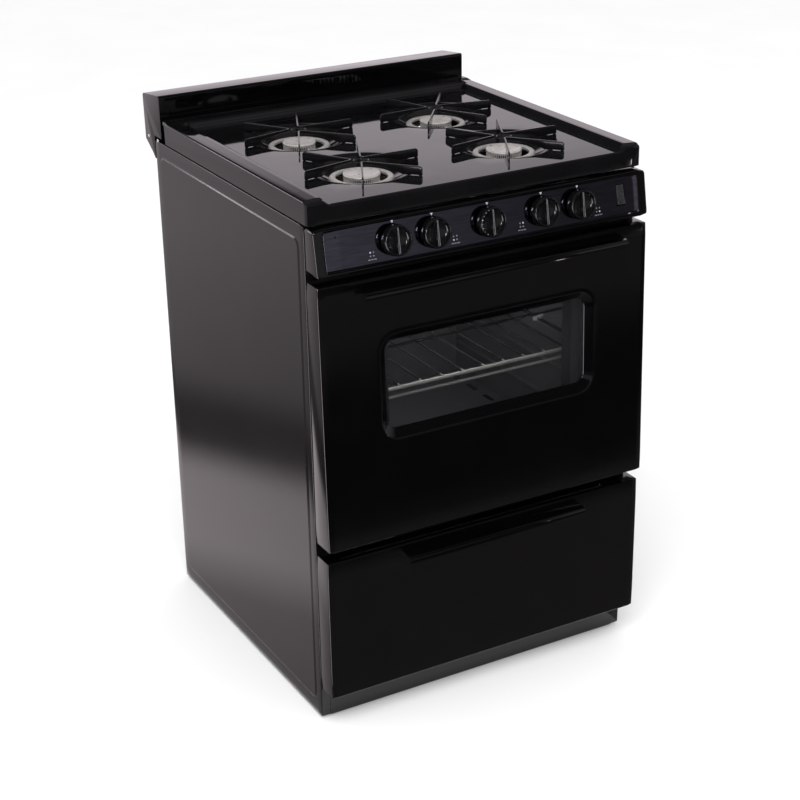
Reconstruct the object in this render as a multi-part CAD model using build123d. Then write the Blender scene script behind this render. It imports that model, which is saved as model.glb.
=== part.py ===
from build123d import *
import math
import os

# Freestanding gas range, millimetres, +Z up, front towards -Y.
# Depths in this file count back from the side panels' front edge; the origin lies under the
# middle of the whole box, ORIGIN_DEPTH behind that edge.
ORIGIN_DEPTH = 270.0

# Body
SHEET = 1.2
BODY_HALF = 305.0
BODY_DEPTH = 573.4
BODY_TOP = 864.3
PANEL_FOOT = 4.0
FLANGE = 18.0
EMBOSS = dict(y0=25.0, y1=547.0, z0=37.0, z1=838.0, corner=18.0, depth=2.6)
KICK_TOP = 57.0
BASE_RAIL = (28.0, 52.0)
LEG_X = 270.0

# Oven
OVEN_HALF = 247.0
OVEN_BOTTOM = 318.0
OVEN_TOP = 747.0
OVEN_FRONT = 4.4
OVEN_BACK = 474.0
OVEN_FLOOR = 350.0
MOUTH = (345.0, 735.0)
RACK_LEVELS = (552.0, 640.0)
RACK_SUPPORTS = (420.0, 486.0, 552.0, 640.0, 700.0)
RACK_HALF = 238.0

# Door and drawer
FRONT_HALF = 303.0
DOOR = dict(z0=334.4, z1=777.4, foot=-49.8, head=-38.6, back=-2.0)
DOOR_PIVOT = (-32.0, 340.0)
HINGE_X = 270.0
HINGE_PIN = 4.0
WINDOW = dict(x=187.0, z0=519.0, z1=668.0)
DRAWER = dict(z0=60.5, z1=312.5, front=-41.7, back=-2.0)
DRAWER_BOX = dict(x=270.0, back=478.0, z0=68.0, z1=288.0)
LEDGE_REACH = -78.0

# Control panel: its face leans out towards its foot
FACE_TOP = (-28.6, 861.6)
FACE_FOOT = (-40.8, 790.4)
PANEL_TOP = 864.0
PANEL_HALF = 302.5
OVERLAY = dict(x0=-285.5, x1=283.0, up=27.9, down=32.0, thick=1.0)
KNOB_HEIGHT = 829.5
KNOB_PLACES = {
    "rear_left": -168.5,
    "front_left": -99.5,
    "thermostat": 0.0,
    "front_right": 168.5,
    "rear_right": 99.5,
}
KNOB_RADIUS = 24.5
KNOB_GAP = 3.4
KNOB_FACE = 18.5
STEM_RADIUS = 3.0
RUNNING_GAP = 0.05
ROCKER = dict(x=251.0, half=7.0, height=32.0, tilt=6.0, pivot=3.8)

# Cooktop, burners and grates
TOP_HALF = 303.6
TOP_FRONT = -14.5
APRON_FOOT = 867.0
WELL = 895.0
BEAD = 905.0
BEAD_FOOT = 267.0
RISER = [(470.0, WELL), (525.0, 906.0), (540.0, 906.0)]
APRON_END = 528.0
TOP_PIVOT = (534.0, 898.0)
BURNER_X = 133.0
BURNER_ROWS = {"front": 131.0, "rear": 352.0}
DISH_RADIUS = 76.0
DISH_FLOOR = 878.5
DISH_HOLE = 41.0
CAP_RADIUS = {"front": 30.0, "rear": 28.0}
CAP_TOP = 888.5
HEAD_TOP = 884.4
BOWL = dict(radius=22.0, z0=848.0, z1=868.0)
GRATE_TOP = 910.0
GRATE_REACH = 107.0
GRATE_SHEET = 2.6
GRATE_RING = 60.0
GRATE_ARMS = ((121.0, 185.0), (241.0, 302.0), (2.0, 63.0))
GRATE_TURN = {"front_left": 2.0, "front_right": 1.0, "rear_left": 3.0, "rear_right": -8.0}

# Backguard, and the gas line at the back
BACKGUARD = [(544.4, 872.0), (544.4, 947.0), (618.0, 939.0), (616.0, 858.6), (586.0, 839.5),
             (575.2, 829.6), (575.2, 872.0)]
SUPPLY_X = 230.0
MANIFOLD = dict(y=25.0, z=819.4, radius=8.0)
INLET = dict(z=797.0, radius=10.65, end=605.0)

LOW = (Align.CENTER, Align.CENTER, Align.MIN)


def at(x, depth, z):
    """A point, from its depth behind the side panels' front edge."""
    return Vector(x, depth - ORIGIN_DEPTH, z)


def block(x0, x1, y0, y1, z0, z1):
    """A plain block between two corners."""
    centre = at((x0 + x1) / 2, (y0 + y1) / 2, (z0 + z1) / 2)
    return Pos(centre) * Box(x1 - x0, y1 - y0, z1 - z0)


def rod(radius, start, end):
    """A round bar between two points."""
    a = at(*start)
    run = at(*end) - a
    return Plane(origin=a, z_dir=run).location * Cylinder(radius, run.length, align=LOW)


def upright(radius, x, depth, z0, z1):
    """A round bar standing on end."""
    return rod(radius, (x, depth, z0), (x, depth, z1))


def prism(outline, x0, x1):
    """A (depth, height) outline drawn out along X."""
    points = [(depth - ORIGIN_DEPTH, z) for depth, z in outline]
    face = Plane.YZ.offset(x0) * Polygon(*points, align=None)
    return extrude(face, amount=x1 - x0, dir=(1, 0, 0))


def turned(outline, x, depth):
    """A (radius, height) outline turned about an upright axis."""
    face = Plane.XZ * Polygon(*outline, align=None)
    return Pos(at(x, depth, 0)) * revolve(face, axis=Axis.Z)


def rounded_plate(y0, y1, z0, z1, corner, x0, x1):
    """A plate square to X, with four round corners."""
    middle = at(x0, (y0 + y1) / 2, (z0 + z1) / 2)
    face = Plane(origin=middle, x_dir=(0, 1, 0), z_dir=(1, 0, 0))
    outline = face * RectangleRounded(y1 - y0, z1 - z0, corner)
    return extrude(outline, amount=x1 - x0, dir=(1, 0, 0))


def both_sides(piece):
    """A piece and its mirror image across the middle of the range."""
    return [piece, mirror(piece, about=Plane.YZ)]


def save(name, *solids):
    """Write one node; several solids make a group."""
    for solid in solids:
        solid.label = name
    shape = solids[0] if len(solids) == 1 else Compound(label=name, children=list(solids))
    export_step(shape, f"parts/{name}.step")


# ---- body ----

def side_panel(side):
    e = EMBOSS
    outer = BODY_HALF
    inner = BODY_HALF - SHEET
    floor = BODY_HALF - e["depth"]
    pocket = (e["y0"], e["y1"], e["z0"], e["z1"], e["corner"])
    wall = (e["y0"] - SHEET, e["y1"] + SHEET, e["z0"] - SHEET, e["z1"] + SHEET,
            e["corner"] + SHEET)
    panel = block(inner, outer, 0, BODY_DEPTH, PANEL_FOOT, BODY_TOP)
    panel += rounded_plate(*wall, floor - SHEET, outer)
    panel -= rounded_plate(*pocket, floor, outer)
    edge = BODY_HALF - FLANGE
    panel += block(edge, outer, 0, SHEET, PANEL_FOOT, BODY_TOP)
    panel += block(edge, outer, BODY_DEPTH - SHEET, BODY_DEPTH, PANEL_FOOT, BODY_TOP)
    panel += block(edge, outer, 0, BODY_DEPTH, BODY_TOP - SHEET, BODY_TOP)
    panel += block(edge, outer, 0, BODY_DEPTH, PANEL_FOOT, PANEL_FOOT + SHEET)
    return panel if side > 0 else mirror(panel, about=Plane.YZ)


def rear_panel():
    panel = block(-300, 300, BODY_DEPTH, BODY_DEPTH + SHEET, 30, 826)
    panel -= rod(16, (SUPPLY_X, BODY_DEPTH - 5, INLET["z"]), (SUPPLY_X, BODY_DEPTH + 5, INLET["z"]))
    panel -= rod(8, (-SUPPLY_X, BODY_DEPTH - 5, 150), (-SUPPLY_X, BODY_DEPTH + 5, 150))
    return panel


def base_frame():
    z0, z1 = BASE_RAIL
    side = block(262, 300.6, 6, 566, z0, z1) - block(263.2, 299.4, 5, 567, z0 + SHEET, z1 + 1)
    front = block(-262, 262, 6, 40, z0, z1) - block(-263, 263, 7.2, 38.8, z0 + SHEET, z1 + 1)
    rear = block(-262, 262, 532, 566, z0, z1) - block(-263, 263, 533.2, 564.8, z0 + SHEET, z1 + 1)
    return both_sides(side) + [front, rear]


def kick_plate():
    face = block(-286.5, 286.5, 0, SHEET, PANEL_FOOT, KICK_TOP)
    top = block(-286.5, 286.5, 0, 24, KICK_TOP - SHEET, KICK_TOP)
    foot = block(-286.5, 286.5, 0, 16, PANEL_FOOT, PANEL_FOOT + SHEET)
    return face + top + foot


def front_frame():
    """Oven surround, with the two door hinge arms and their pins."""
    plate = block(-BODY_HALF + 2, BODY_HALF - 2, 2, 4, 313, 788)
    plate -= block(-OVEN_HALF + 2, OVEN_HALF - 2, 0, 6, *MOUTH)
    depth, z = DOOR_PIVOT
    for side in (-1, 1):
        plate += block(side * HINGE_X - 2, side * HINGE_X + 2, depth, 4, z - 3.5, z + 3.5)
        plate += rod(5, (side * HINGE_X - 2, depth, z), (side * HINGE_X + 2, depth, z))
        plate += rod(HINGE_PIN, (side * HINGE_X - 8, depth, z), (side * HINGE_X + 8, depth, z))
    return plate


def levelling_legs():
    legs = []
    for depth in (45, 528):
        leg = upright(16, LEG_X, depth, 0, 7) + upright(5, LEG_X, depth, 7, BASE_RAIL[0])
        legs += both_sides(leg)
    return legs


def drawer_rails():
    x0 = DRAWER_BOX["x"] + 1
    rail = block(x0, x0 + 12, 26, 480, 74, 76) + block(x0 + 10, x0 + 12, 26, 480, 52, 96)
    return both_sides(rail)


# ---- oven ----

def oven_liner():
    liner = block(-OVEN_HALF, OVEN_HALF, OVEN_FRONT, OVEN_BACK, OVEN_BOTTOM, OVEN_TOP)
    inside = (-OVEN_HALF + SHEET, OVEN_HALF - SHEET, 0, OVEN_BACK - SHEET,
              OVEN_BOTTOM + SHEET, OVEN_TOP - SHEET)
    liner -= block(*inside)
    wall = OVEN_HALF - SHEET
    for z in RACK_SUPPORTS:
        ledge = block(wall - 9, wall + 0.5, 10, 460, z - 9, z - 5.4)
        liner += ledge
        liner += mirror(ledge, about=Plane.YZ)
    for side in (-1, 1):
        liner += block(side * (wall - 4) - 4.4, side * (wall - 4) + 4.4, 10, 470,
                       OVEN_FLOOR - 5, OVEN_FLOOR - 0.2)
    liner -= block(-70, 70, 430, 460, OVEN_TOP - 4, OVEN_TOP + 4)
    liner -= rod(14.5, (205, OVEN_BACK - 5, 715), (205, OVEN_BACK + 5, 715))
    return liner


def oven_insulation():
    wrap = block(-282, 282, 8, 504, 330, 778)
    wrap -= block(-OVEN_HALF - 0.3, OVEN_HALF + 0.3, 0, OVEN_BACK + 0.3, 320, OVEN_TOP + 0.3)
    wrap -= block(-72, 72, 428, 462, 740, 790)
    wrap -= rod(20, (205, 470, 715), (205, 510, 715))
    return wrap


def oven_floor_plate():
    plate = block(-243, 243, 8, 468, OVEN_FLOOR, OVEN_FLOOR + SHEET)
    plate += block(-236, 236, 8, 9.2, OVEN_FLOOR - 14, OVEN_FLOOR + SHEET)
    for depth in range(60, 430, 60):
        for side in (-1, 1):
            plate -= block(side * 222 - 5, side * 222 + 5, depth, depth + 34, 340, 360)
    return plate


def oven_burner():
    z = 334
    tube = rod(11, (0, 30, z), (0, 430, z)) - rod(9.5, (0, 20, z), (0, 424, z))
    for depth in range(60, 420, 18):
        tube -= rod(1.5, (-14, depth, z + 3), (14, depth, z + 3))
    for depth in (70, 400):
        tube += block(-30, 30, depth, depth + 16, OVEN_BOTTOM + SHEET, z - 9.6)
    return tube


def oven_lamp():
    base = rod(14, (205, OVEN_BACK - SHEET - 2, 715), (205, 500, 715))
    flange = rod(19, (205, OVEN_BACK - SHEET - 2.4, 715), (205, OVEN_BACK - SHEET - 0.2, 715))
    dome = Pos(at(205, OVEN_BACK - SHEET - 4, 715)) * Sphere(13)
    return base + flange + dome


def oven_gasket():
    ring = block(-258, 258, -0.4, 2, 333, 750)
    return ring - block(-250, 250, -2, 4, 341, 742)


def oven_rack(level):
    """Wire shelf: a heavy frame, two front wires and thin cross wires."""
    front, back = 35.0, 440.0
    x = RACK_HALF
    rack = rod(3.2, (-x - 3, front, level), (x + 3, front, level))
    rack += rod(3.2, (-x - 3, back, level), (x + 3, back, level))
    for side in (-1, 1):
        rack += rod(2.9, (side * x, front, level), (side * x, back, level))
    for i in range(-5, 6):
        rack += rod(1.8, (i * 40, front, level), (i * 40, back, level))
    lower = level - 14
    x -= 14
    rack += rod(2.6, (-x - 3, front, lower), (x + 3, front, lower))
    for side in (-1, 1):
        rack += upright(2.3, side * x, front, lower, level)
    return rack


# ---- door ----

def door_profile(inset):
    """The door's side outline; the face leans out towards its foot."""
    d = DOOR
    back = d["back"] + (20 if inset else 0)
    return [(d["foot"] + inset, d["z0"] + inset), (back, d["z0"] + inset),
            (back, d["z1"] - inset), (d["head"] + inset, d["z1"] - inset)]


def door_skin():
    skin = prism(door_profile(0), -FRONT_HALF, FRONT_HALF)
    corners = skin.edges().filter_by(lambda e: abs(e.tangent_at(0).X) < 0.1
                                     and abs(e.tangent_at(0).Z) > 0.9
                                     and e.center().Y < at(0, -30, 0).Y)
    skin = fillet(corners, 9)
    skin -= prism(door_profile(SHEET), -FRONT_HALF + SHEET, FRONT_HALF - SHEET)
    w = WINDOW
    skin -= block(-w["x"], w["x"], -60, -10, w["z0"], w["z1"])
    for side in (-1, 1):
        x = side * HINGE_X
        skin -= block(x - 4, x + 4, DOOR_PIVOT[0] - 6, 0, 330, 348)
    return skin


def door_inner_panel():
    d = DOOR
    panel = block(-298, 298, d["back"], d["back"] + SHEET, d["z0"] + 2, d["z1"] - 2)
    panel -= block(-165, 165, -10, 5, 500, 690)
    for side in (-1, 1):
        x = side * HINGE_X
        panel -= block(x - 4, x + 4, -10, 5, 330, 350)
    rim = block(-200, 200, -26, d["back"], 490, 700) - block(-198.8, 198.8, -30, 5, 491.2, 698.8)
    return panel + rim


def face_depth(z):
    """Depth of the door's outer face at a height."""
    d = DOOR
    share = (z - d["z0"]) / (d["z1"] - d["z0"])
    return d["foot"] + share * (d["head"] - d["foot"])


def door_glass():
    """Outer window pane, held behind the skin, with its stepped surround."""
    w = WINDOW
    outline = []
    for z, offset in ((505, 2.2), (505, 5.2), (682, 5.2), (682, 2.2)):
        outline.append((face_depth(z) + offset, z))
    pane = prism(outline, -201, 201)
    front = []
    for z, offset in ((w["z0"] + 0.5, 0.4), (w["z0"] + 0.5, 3), (w["z1"] - 0.5, 3),
                      (w["z1"] - 0.5, 0.4)):
        front.append((face_depth(z) + offset, z))
    return pane + prism(front, -w["x"] + 0.5, w["x"] - 0.5)


def door_inner_glass():
    return block(-180, 180, DOOR["back"] - 4.2, DOOR["back"] - 0.2, 494, 696)


def ledge(half, root, z_root, z_lip, drop):
    """Bent pull: a plate that slopes down to a rounded lip."""
    reach = LEDGE_REACH
    outline = [(root, z_root), (reach + 6, z_lip + 1.5), (reach, z_lip - 3), (reach, z_lip - drop),
               (reach + 3, z_lip - drop), (reach + 3, z_lip - 4), (reach + 7, z_lip - 1.5),
               (root, z_root - 3)]
    return prism(outline, -half, half)


def door_handle():
    pull = ledge(240, face_depth(771) - 0.2, 772.5, 767, 10)
    flange = [(face_depth(772.5) - 0.2, 772.5), (face_depth(772.5) - 2.2, 772.5),
              (face_depth(758) - 2.2, 758), (face_depth(758) - 0.2, 758)]
    return pull + prism(flange, -238, 238)


def door_hinge_cups():
    """Steel channels inside the door that turn on the hinge pins."""
    depth, z = DOOR_PIVOT
    cups = []
    for side in (-1, 1):
        x = side * HINGE_X
        cup = block(x - 8, x + 8, depth - 9, -4.2, z - 4, 420)
        cup -= block(x - 4.5, x + 4.5, depth - 7.5, 0, z - 10, 430)
        cup -= rod(HINGE_PIN + RUNNING_GAP, (x - 12, depth, z), (x + 12, depth, z))
        cups.append(cup)
    return cups


# ---- drawer ----

def drawer_front():
    d = DRAWER
    front = block(-FRONT_HALF, FRONT_HALF, d["front"], d["back"], d["z0"], d["z1"])
    corners = front.edges().filter_by(Axis.Z).sort_by(Axis.Y)[:2]
    front = fillet(corners, 9)
    front -= block(-FRONT_HALF + SHEET, FRONT_HALF - SHEET, d["front"] + SHEET, d["back"] + 5,
                   d["z0"] + SHEET, d["z1"] - SHEET)
    for side in (-1, 1):
        front -= upright(2.2, side * 234.5, -25, d["z1"] - 3, d["z1"] + 3)
    return front


def drawer_body():
    d = DRAWER_BOX
    y0 = DRAWER["front"] + SHEET
    body = block(-d["x"], d["x"], y0, d["back"], d["z0"], d["z1"])
    body -= block(-d["x"] + SHEET, d["x"] - SHEET, y0 + SHEET, d["back"] - SHEET,
                  d["z0"] + SHEET, d["z1"] + 5)
    return body


def drawer_handle():
    root = DRAWER["front"] - 0.2
    pull = ledge(170, root, 307.5, 303, 11)
    return pull + block(-168, 168, root - 2, root, 292, 307.5)


def drawer_screws():
    screws = []
    for side in (-1, 1):
        top = DRAWER["z1"]
        shank = upright(2.0, side * 234.5, -25, top - 9, top + 0.5)
        screws.append(shank + upright(4.2, side * 234.5, -25, top + 0.1, top + 2.1))
    return screws


# ---- control panel ----

def face_plane(x):
    """Plane on the control panel's face at knob height; local Z points out at the user."""
    (y_top, z_top), (y_foot, z_foot) = FACE_TOP, FACE_FOOT
    slope = (y_top - y_foot) / (z_top - z_foot)
    depth = y_top - slope * (z_top - KNOB_HEIGHT)
    normal = Vector(0, -(z_top - z_foot), y_top - y_foot).normalized()
    return Plane(origin=at(x, depth, KNOB_HEIGHT), x_dir=(1, 0, 0), z_dir=normal)


def on_face(x, piece):
    return face_plane(x).location * piece


def panel_outline(inset):
    back = 20 if inset else -0.6
    return [(FACE_FOOT[0] + inset, FACE_FOOT[1] + inset), (back, FACE_FOOT[1] + inset),
            (back, PANEL_TOP - inset), (FACE_TOP[0] + 3 + inset * 0.6, PANEL_TOP - inset),
            (FACE_TOP[0] + inset, FACE_TOP[1] - inset * 0.4)]


def overlay_block(grow, low, high):
    o = OVERLAY
    middle = (o["x0"] + o["x1"]) / 2
    centre = Pos(0, (o["up"] - o["down"]) / 2, (low + high) / 2)
    size = Box(o["x1"] - o["x0"] + grow, o["up"] + o["down"] + grow, high - low)
    return on_face(middle, centre * size)


def rocker_hole(grow):
    r = ROCKER
    return on_face(r["x"], Pos(0, 1.5, 0) * Box(2 * r["half"] + grow, r["height"] + grow, 30))


def control_panel():
    panel = prism(panel_outline(0), -PANEL_HALF, PANEL_HALF)
    wall = 2.2
    panel -= prism(panel_outline(wall), -PANEL_HALF + wall, PANEL_HALF - wall)
    panel -= overlay_block(0.1, -OVERLAY["thick"], 5)
    for x in KNOB_PLACES.values():
        panel -= on_face(x, Cylinder(6, 40))
    return panel - rocker_hole(2.4)


def panel_overlay():
    overlay = overlay_block(0, -OVERLAY["thick"], 0)
    for x in KNOB_PLACES.values():
        overlay -= on_face(x, Cylinder(6, 40))
    return overlay - rocker_hole(2.0)


def light_rocker():
    """Rocker cap on two small pivot pins, resting with its upper end pressed in."""
    r = ROCKER
    h = r["height"] / 2
    top, foot = 2.6 + r["pivot"], r["pivot"] - 9
    outline = [(-h, top), (0, top - 1.6), (h, top), (h, foot + 4), (3, foot), (-3, foot),
               (-h, foot + 4)]
    side = Plane.YZ.offset(-r["half"]) * Polygon(*outline, align=None)
    body = extrude(side, amount=2 * r["half"], dir=(1, 0, 0))
    pins = Rot(0, 90, 0) * Cylinder(1.1, 2 * r["half"] + 2.4)
    return on_face(r["x"], Pos(0, 1.5, -r["pivot"]) * Rot(-r["tilt"], 0, 0) * (body + pins))


def knob():
    """Dished knob with a tapered grip bar, on its own axis."""
    r = KNOB_RADIUS
    floor = KNOB_FACE - 8
    outline = [(0, KNOB_GAP), (r - 1.5, KNOB_GAP), (r, KNOB_GAP + 1.5), (r - 0.8, KNOB_FACE - 2),
               (r - 2.8, KNOB_FACE), (r - 5, KNOB_FACE), (r - 7.5, floor), (0, floor)]
    face = Plane.XZ * Polygon(*outline, align=None)
    body = revolve(face, axis=Axis.Z)
    bar = [(-6.5, floor - 1), (6.5, floor - 1), (2.2, KNOB_FACE - 0.4), (-2.2, KNOB_FACE - 0.4)]
    grip = Plane.XZ.offset(-r + 4) * Polygon(*bar, align=None)
    body += extrude(grip, amount=2 * r - 8, dir=(0, -1, 0))
    return body - Cylinder(STEM_RADIUS + RUNNING_GAP, 13, align=LOW)


def valve_stem():
    return Pos(0, 0, -14) * Cylinder(STEM_RADIUS, 23.5, align=LOW)


def manifold():
    m = MANIFOLD
    pipe = rod(m["radius"], (-200, m["y"], m["z"]), (SUPPLY_X, m["y"], m["z"]))
    pipe += rod(m["radius"], (SUPPLY_X, m["y"], m["z"]), (SUPPLY_X, 484, m["z"]))
    return pipe + Pos(at(SUPPLY_X, m["y"], m["z"])) * Sphere(m["radius"])


def manifold_cutter():
    m = MANIFOLD
    return rod(m["radius"] + 0.05, (-220, m["y"], m["z"]), (SUPPLY_X + 20, m["y"], m["z"]))


def stem_socket(x):
    return on_face(x, Pos(0, 0, -16) * Cylinder(STEM_RADIUS + RUNNING_GAP, 20, align=LOW))


def burner_valves():
    valves = []
    for name, x in KNOB_PLACES.items():
        if name == "thermostat":
            continue
        body = on_face(x, Pos(0, 0, -56) * Cylinder(11, 46, align=LOW))
        body += upright(6, x, 0, 822, 861)
        body += block(x - 7.5, x + 7.5, -7.5, 7.5, 849, 861)
        valves.append(body - manifold_cutter() - stem_socket(x))
    return valves


def thermostat():
    body = on_face(0, Pos(0, 0, -33) * Box(52, 44, 46))
    return body - manifold_cutter() - stem_socket(0)


def pressure_regulator():
    body = upright(26, SUPPLY_X, 510.5, 786, 830)
    body += upright(18, SUPPLY_X, 510.5, 830, 840)
    return body


def gas_inlet():
    z = INLET["z"]
    pipe = rod(INLET["radius"], (SUPPLY_X, 536.8, z), (SUPPLY_X, INLET["end"], z))
    collar = rod(14.5, (SUPPLY_X, 545, z), (SUPPLY_X, 557, z))
    return pipe + collar - rod(7.5, (SUPPLY_X, 530, z), (SUPPLY_X, INLET["end"] + 5, z))


def power_inlet():
    ring = rod(13, (-SUPPLY_X, BODY_DEPTH + SHEET, 150), (-SUPPLY_X, BODY_DEPTH + 8, 150))
    ring += rod(7.8, (-SUPPLY_X, BODY_DEPTH - 4, 150), (-SUPPLY_X, BODY_DEPTH + 8, 150))
    return ring - rod(4.5, (-SUPPLY_X, BODY_DEPTH - 10, 150), (-SUPPLY_X, BODY_DEPTH + 12, 150))


# ---- burners ----

def burner_places():
    for row, depth in BURNER_ROWS.items():
        for side, name in ((-1, "left"), (1, "right")):
            yield f"{row}_{name}", row, side * BURNER_X, depth


def burner_tubes():
    """Supply tubes from each valve's outlet to its burner bowl."""
    tubes = []
    z = 857
    for name, row, x, depth in burner_places():
        valve = KNOB_PLACES[name]
        corner = (valve, depth - 28, z) if row == "rear" else (valve, 14, z)
        tube = rod(4.5, (valve, 7.5, z), corner)
        tube += Pos(at(*corner)) * Sphere(5.2)
        tube += rod(4.5, corner, (x, depth, z))
        tubes.append(tube - upright(BOWL["radius"] + 0.05, x, depth, 840, 880))
    return tubes


def burner_rails():
    rails = []
    for depth in BURNER_ROWS.values():
        rail = block(-300, 300, depth - 22, depth + 22, BOWL["z0"] - 2, BOWL["z0"])
        rail += block(-300, 300, depth - 22, depth - 20, BOWL["z0"] - 14, BOWL["z0"])
        rails.append(rail)
    return rails


def burner_head(row, x, depth):
    """Cast bowl with a toothed flame ring."""
    r = CAP_RADIUS[row] - 0.6
    bowl = BOWL["radius"]
    outline = [(0, BOWL["z0"]), (bowl, BOWL["z0"]), (bowl, BOWL["z1"]), (r, BOWL["z1"] + 6),
               (r, HEAD_TOP), (r - 7, HEAD_TOP), (r - 7, BOWL["z1"] + 6), (bowl - 6, BOWL["z1"]),
               (bowl - 6, BOWL["z0"] + 4), (0, BOWL["z0"] + 4)]
    head = turned(outline, x, depth)
    slot = Pos(r - 3, 0, 0) * Box(16, 1.8, 3.6)
    for i in range(24):
        head -= Pos(at(x, depth, HEAD_TOP)) * Rot(0, 0, i * 15) * slot
    return head


def burner_cap(row, x, depth):
    r = CAP_RADIUS[row]
    base = HEAD_TOP + 0.3
    outline = [(0, base - 3), (r - 8.4, base - 3), (r - 8.4, base), (r, base), (r, CAP_TOP - 1.8),
               (r - 1.5, CAP_TOP - 0.3), (r - 6, CAP_TOP), (0, CAP_TOP - 0.8)]
    return turned(outline, x, depth)


def spark_electrodes():
    pins = []
    for name, row, x, depth in burner_places():
        near = depth + (36.0 if row == "front" else -36.0)
        pin = upright(3.2, x, near, 858, 876) + upright(1.0, x, near, 876, 882)
        pins.append(pin)
    return pins


# ---- cooktop ----

def dish(x, depth):
    """Sunken ring around a burner, to join the well to its opening."""
    outline = [(DISH_HOLE, DISH_FLOOR - SHEET), (DISH_HOLE, DISH_FLOOR), (50, DISH_FLOOR),
               (DISH_RADIUS, WELL), (DISH_RADIUS + 3, WELL), (DISH_RADIUS + 3, WELL - SHEET),
               (DISH_RADIUS + 0.5, WELL - SHEET), (50.5, DISH_FLOOR - SHEET)]
    return turned(outline, x, depth)


def cooktop():
    shape = [(TOP_FRONT, APRON_FOOT), (TOP_FRONT, WELL - 4), (TOP_FRONT + 4, WELL), *RISER,
             (540, APRON_FOOT)]
    top = prism(shape, -TOP_HALF, TOP_HALF)
    bead = block(BEAD_FOOT, TOP_HALF, TOP_FRONT + 8, APRON_END, WELL - 1, BEAD)
    bead = fillet(bead.edges().filter_by(Axis.Y).group_by(Axis.Z)[-1], 5)
    for piece in both_sides(bead):
        top += piece
    hollow = [(TOP_FRONT + SHEET, APRON_FOOT - 5), (TOP_FRONT + SHEET, WELL - SHEET),
              (470, WELL - SHEET), (525, 906 - SHEET), (545, 906 - SHEET), (545, APRON_FOOT - 5)]
    top -= prism(hollow, -TOP_HALF + SHEET, TOP_HALF - SHEET)
    under = block(BEAD_FOOT + 4, TOP_HALF - SHEET, TOP_FRONT + 10, APRON_END - SHEET, WELL - 4,
                  BEAD - 4)
    for piece in both_sides(under):
        top -= piece
    top -= block(-TOP_HALF - 5, TOP_HALF + 5, APRON_END, 545, 860, 906 - SHEET)
    for _, _, x, depth in burner_places():
        top -= upright(DISH_RADIUS + 1, x, depth, WELL - 10, WELL + 5)
        top += dish(x, depth)
    y, z = TOP_PIVOT
    ear = block(286, 289, y - 5, y + 5, z - 5, 906 - SHEET)
    ear -= rod(STEM_RADIUS + RUNNING_GAP, (280, y, z), (295, y, z))
    for piece in both_sides(ear):
        top += piece
    return top


def cooktop_hinge_pins():
    y, z = TOP_PIVOT
    pin = rod(STEM_RADIUS, (278, y, z), (292, y, z))
    bracket = block(278, 281, y - 3, y + 3, 880, z + 3) + block(278, 281, y - 3, 544.2, 880, 888)
    return both_sides(pin + bracket)


def grate(x, depth, turn):
    """Three bent V sheets, held by a tie ring."""
    height = GRATE_TOP - WELL - 0.4
    middle = GRATE_TOP - height / 2
    arm = Pos((GRATE_REACH + 16) / 2, 0, middle) * Box(GRATE_REACH - 16, GRATE_SHEET, height)
    arm -= Pos(45, 0, WELL) * Box(60, 10, 9)
    arm -= Pos(GRATE_REACH - 5, 0, WELL) * Box(20, 10, 4)
    shape = Pos(0, 0, GRATE_TOP - 5) * Torus(GRATE_RING, 2.2)
    apex_height = GRATE_TOP - (WELL + 4.5)
    for pair in GRATE_ARMS:
        for angle in pair:
            shape += Rot(0, 0, angle) * arm
        first, last = pair
        chord = 2 * 17 * math.sin(math.radians((last - first) / 2))
        link = Pos(17 * math.cos(math.radians((last - first) / 2)), 0, GRATE_TOP - apex_height / 2)
        link *= Box(GRATE_SHEET, chord + 1.5, apex_height)
        shape += Rot(0, 0, (first + last) / 2) * link
    return Pos(at(x, depth, 0)) * Rot(0, 0, turn) * shape


def backguard():
    guard = prism(BACKGUARD, -TOP_HALF, TOP_HALF)
    (y0, z0), (_, z1), (y2, z2), (y3, z3), (y4, z4), (y5, z5), _ = BACKGUARD
    hollow = [(y0 + SHEET, z0 + SHEET), (y0 + SHEET, z1 - 1.4), (y2 - SHEET, z2 - 1.4),
              (y3 - SHEET, z3 + 0.8), (y4, z4 + 1.6), (y5 + SHEET, z5 + 3), (y5 + SHEET, z0 + SHEET)]
    guard -= prism(hollow, -TOP_HALF + SHEET, TOP_HALF - SHEET)
    guard -= block(-290, 290, y0 + 6, y5 - 4, z0 - 3, z0 + 3)
    for i in range(33):
        x = -132 + i * 8
        guard -= block(x - 1.2, x + 1.2, y0 - 2, y0 + 2, 918, 936)
    return guard


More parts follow.
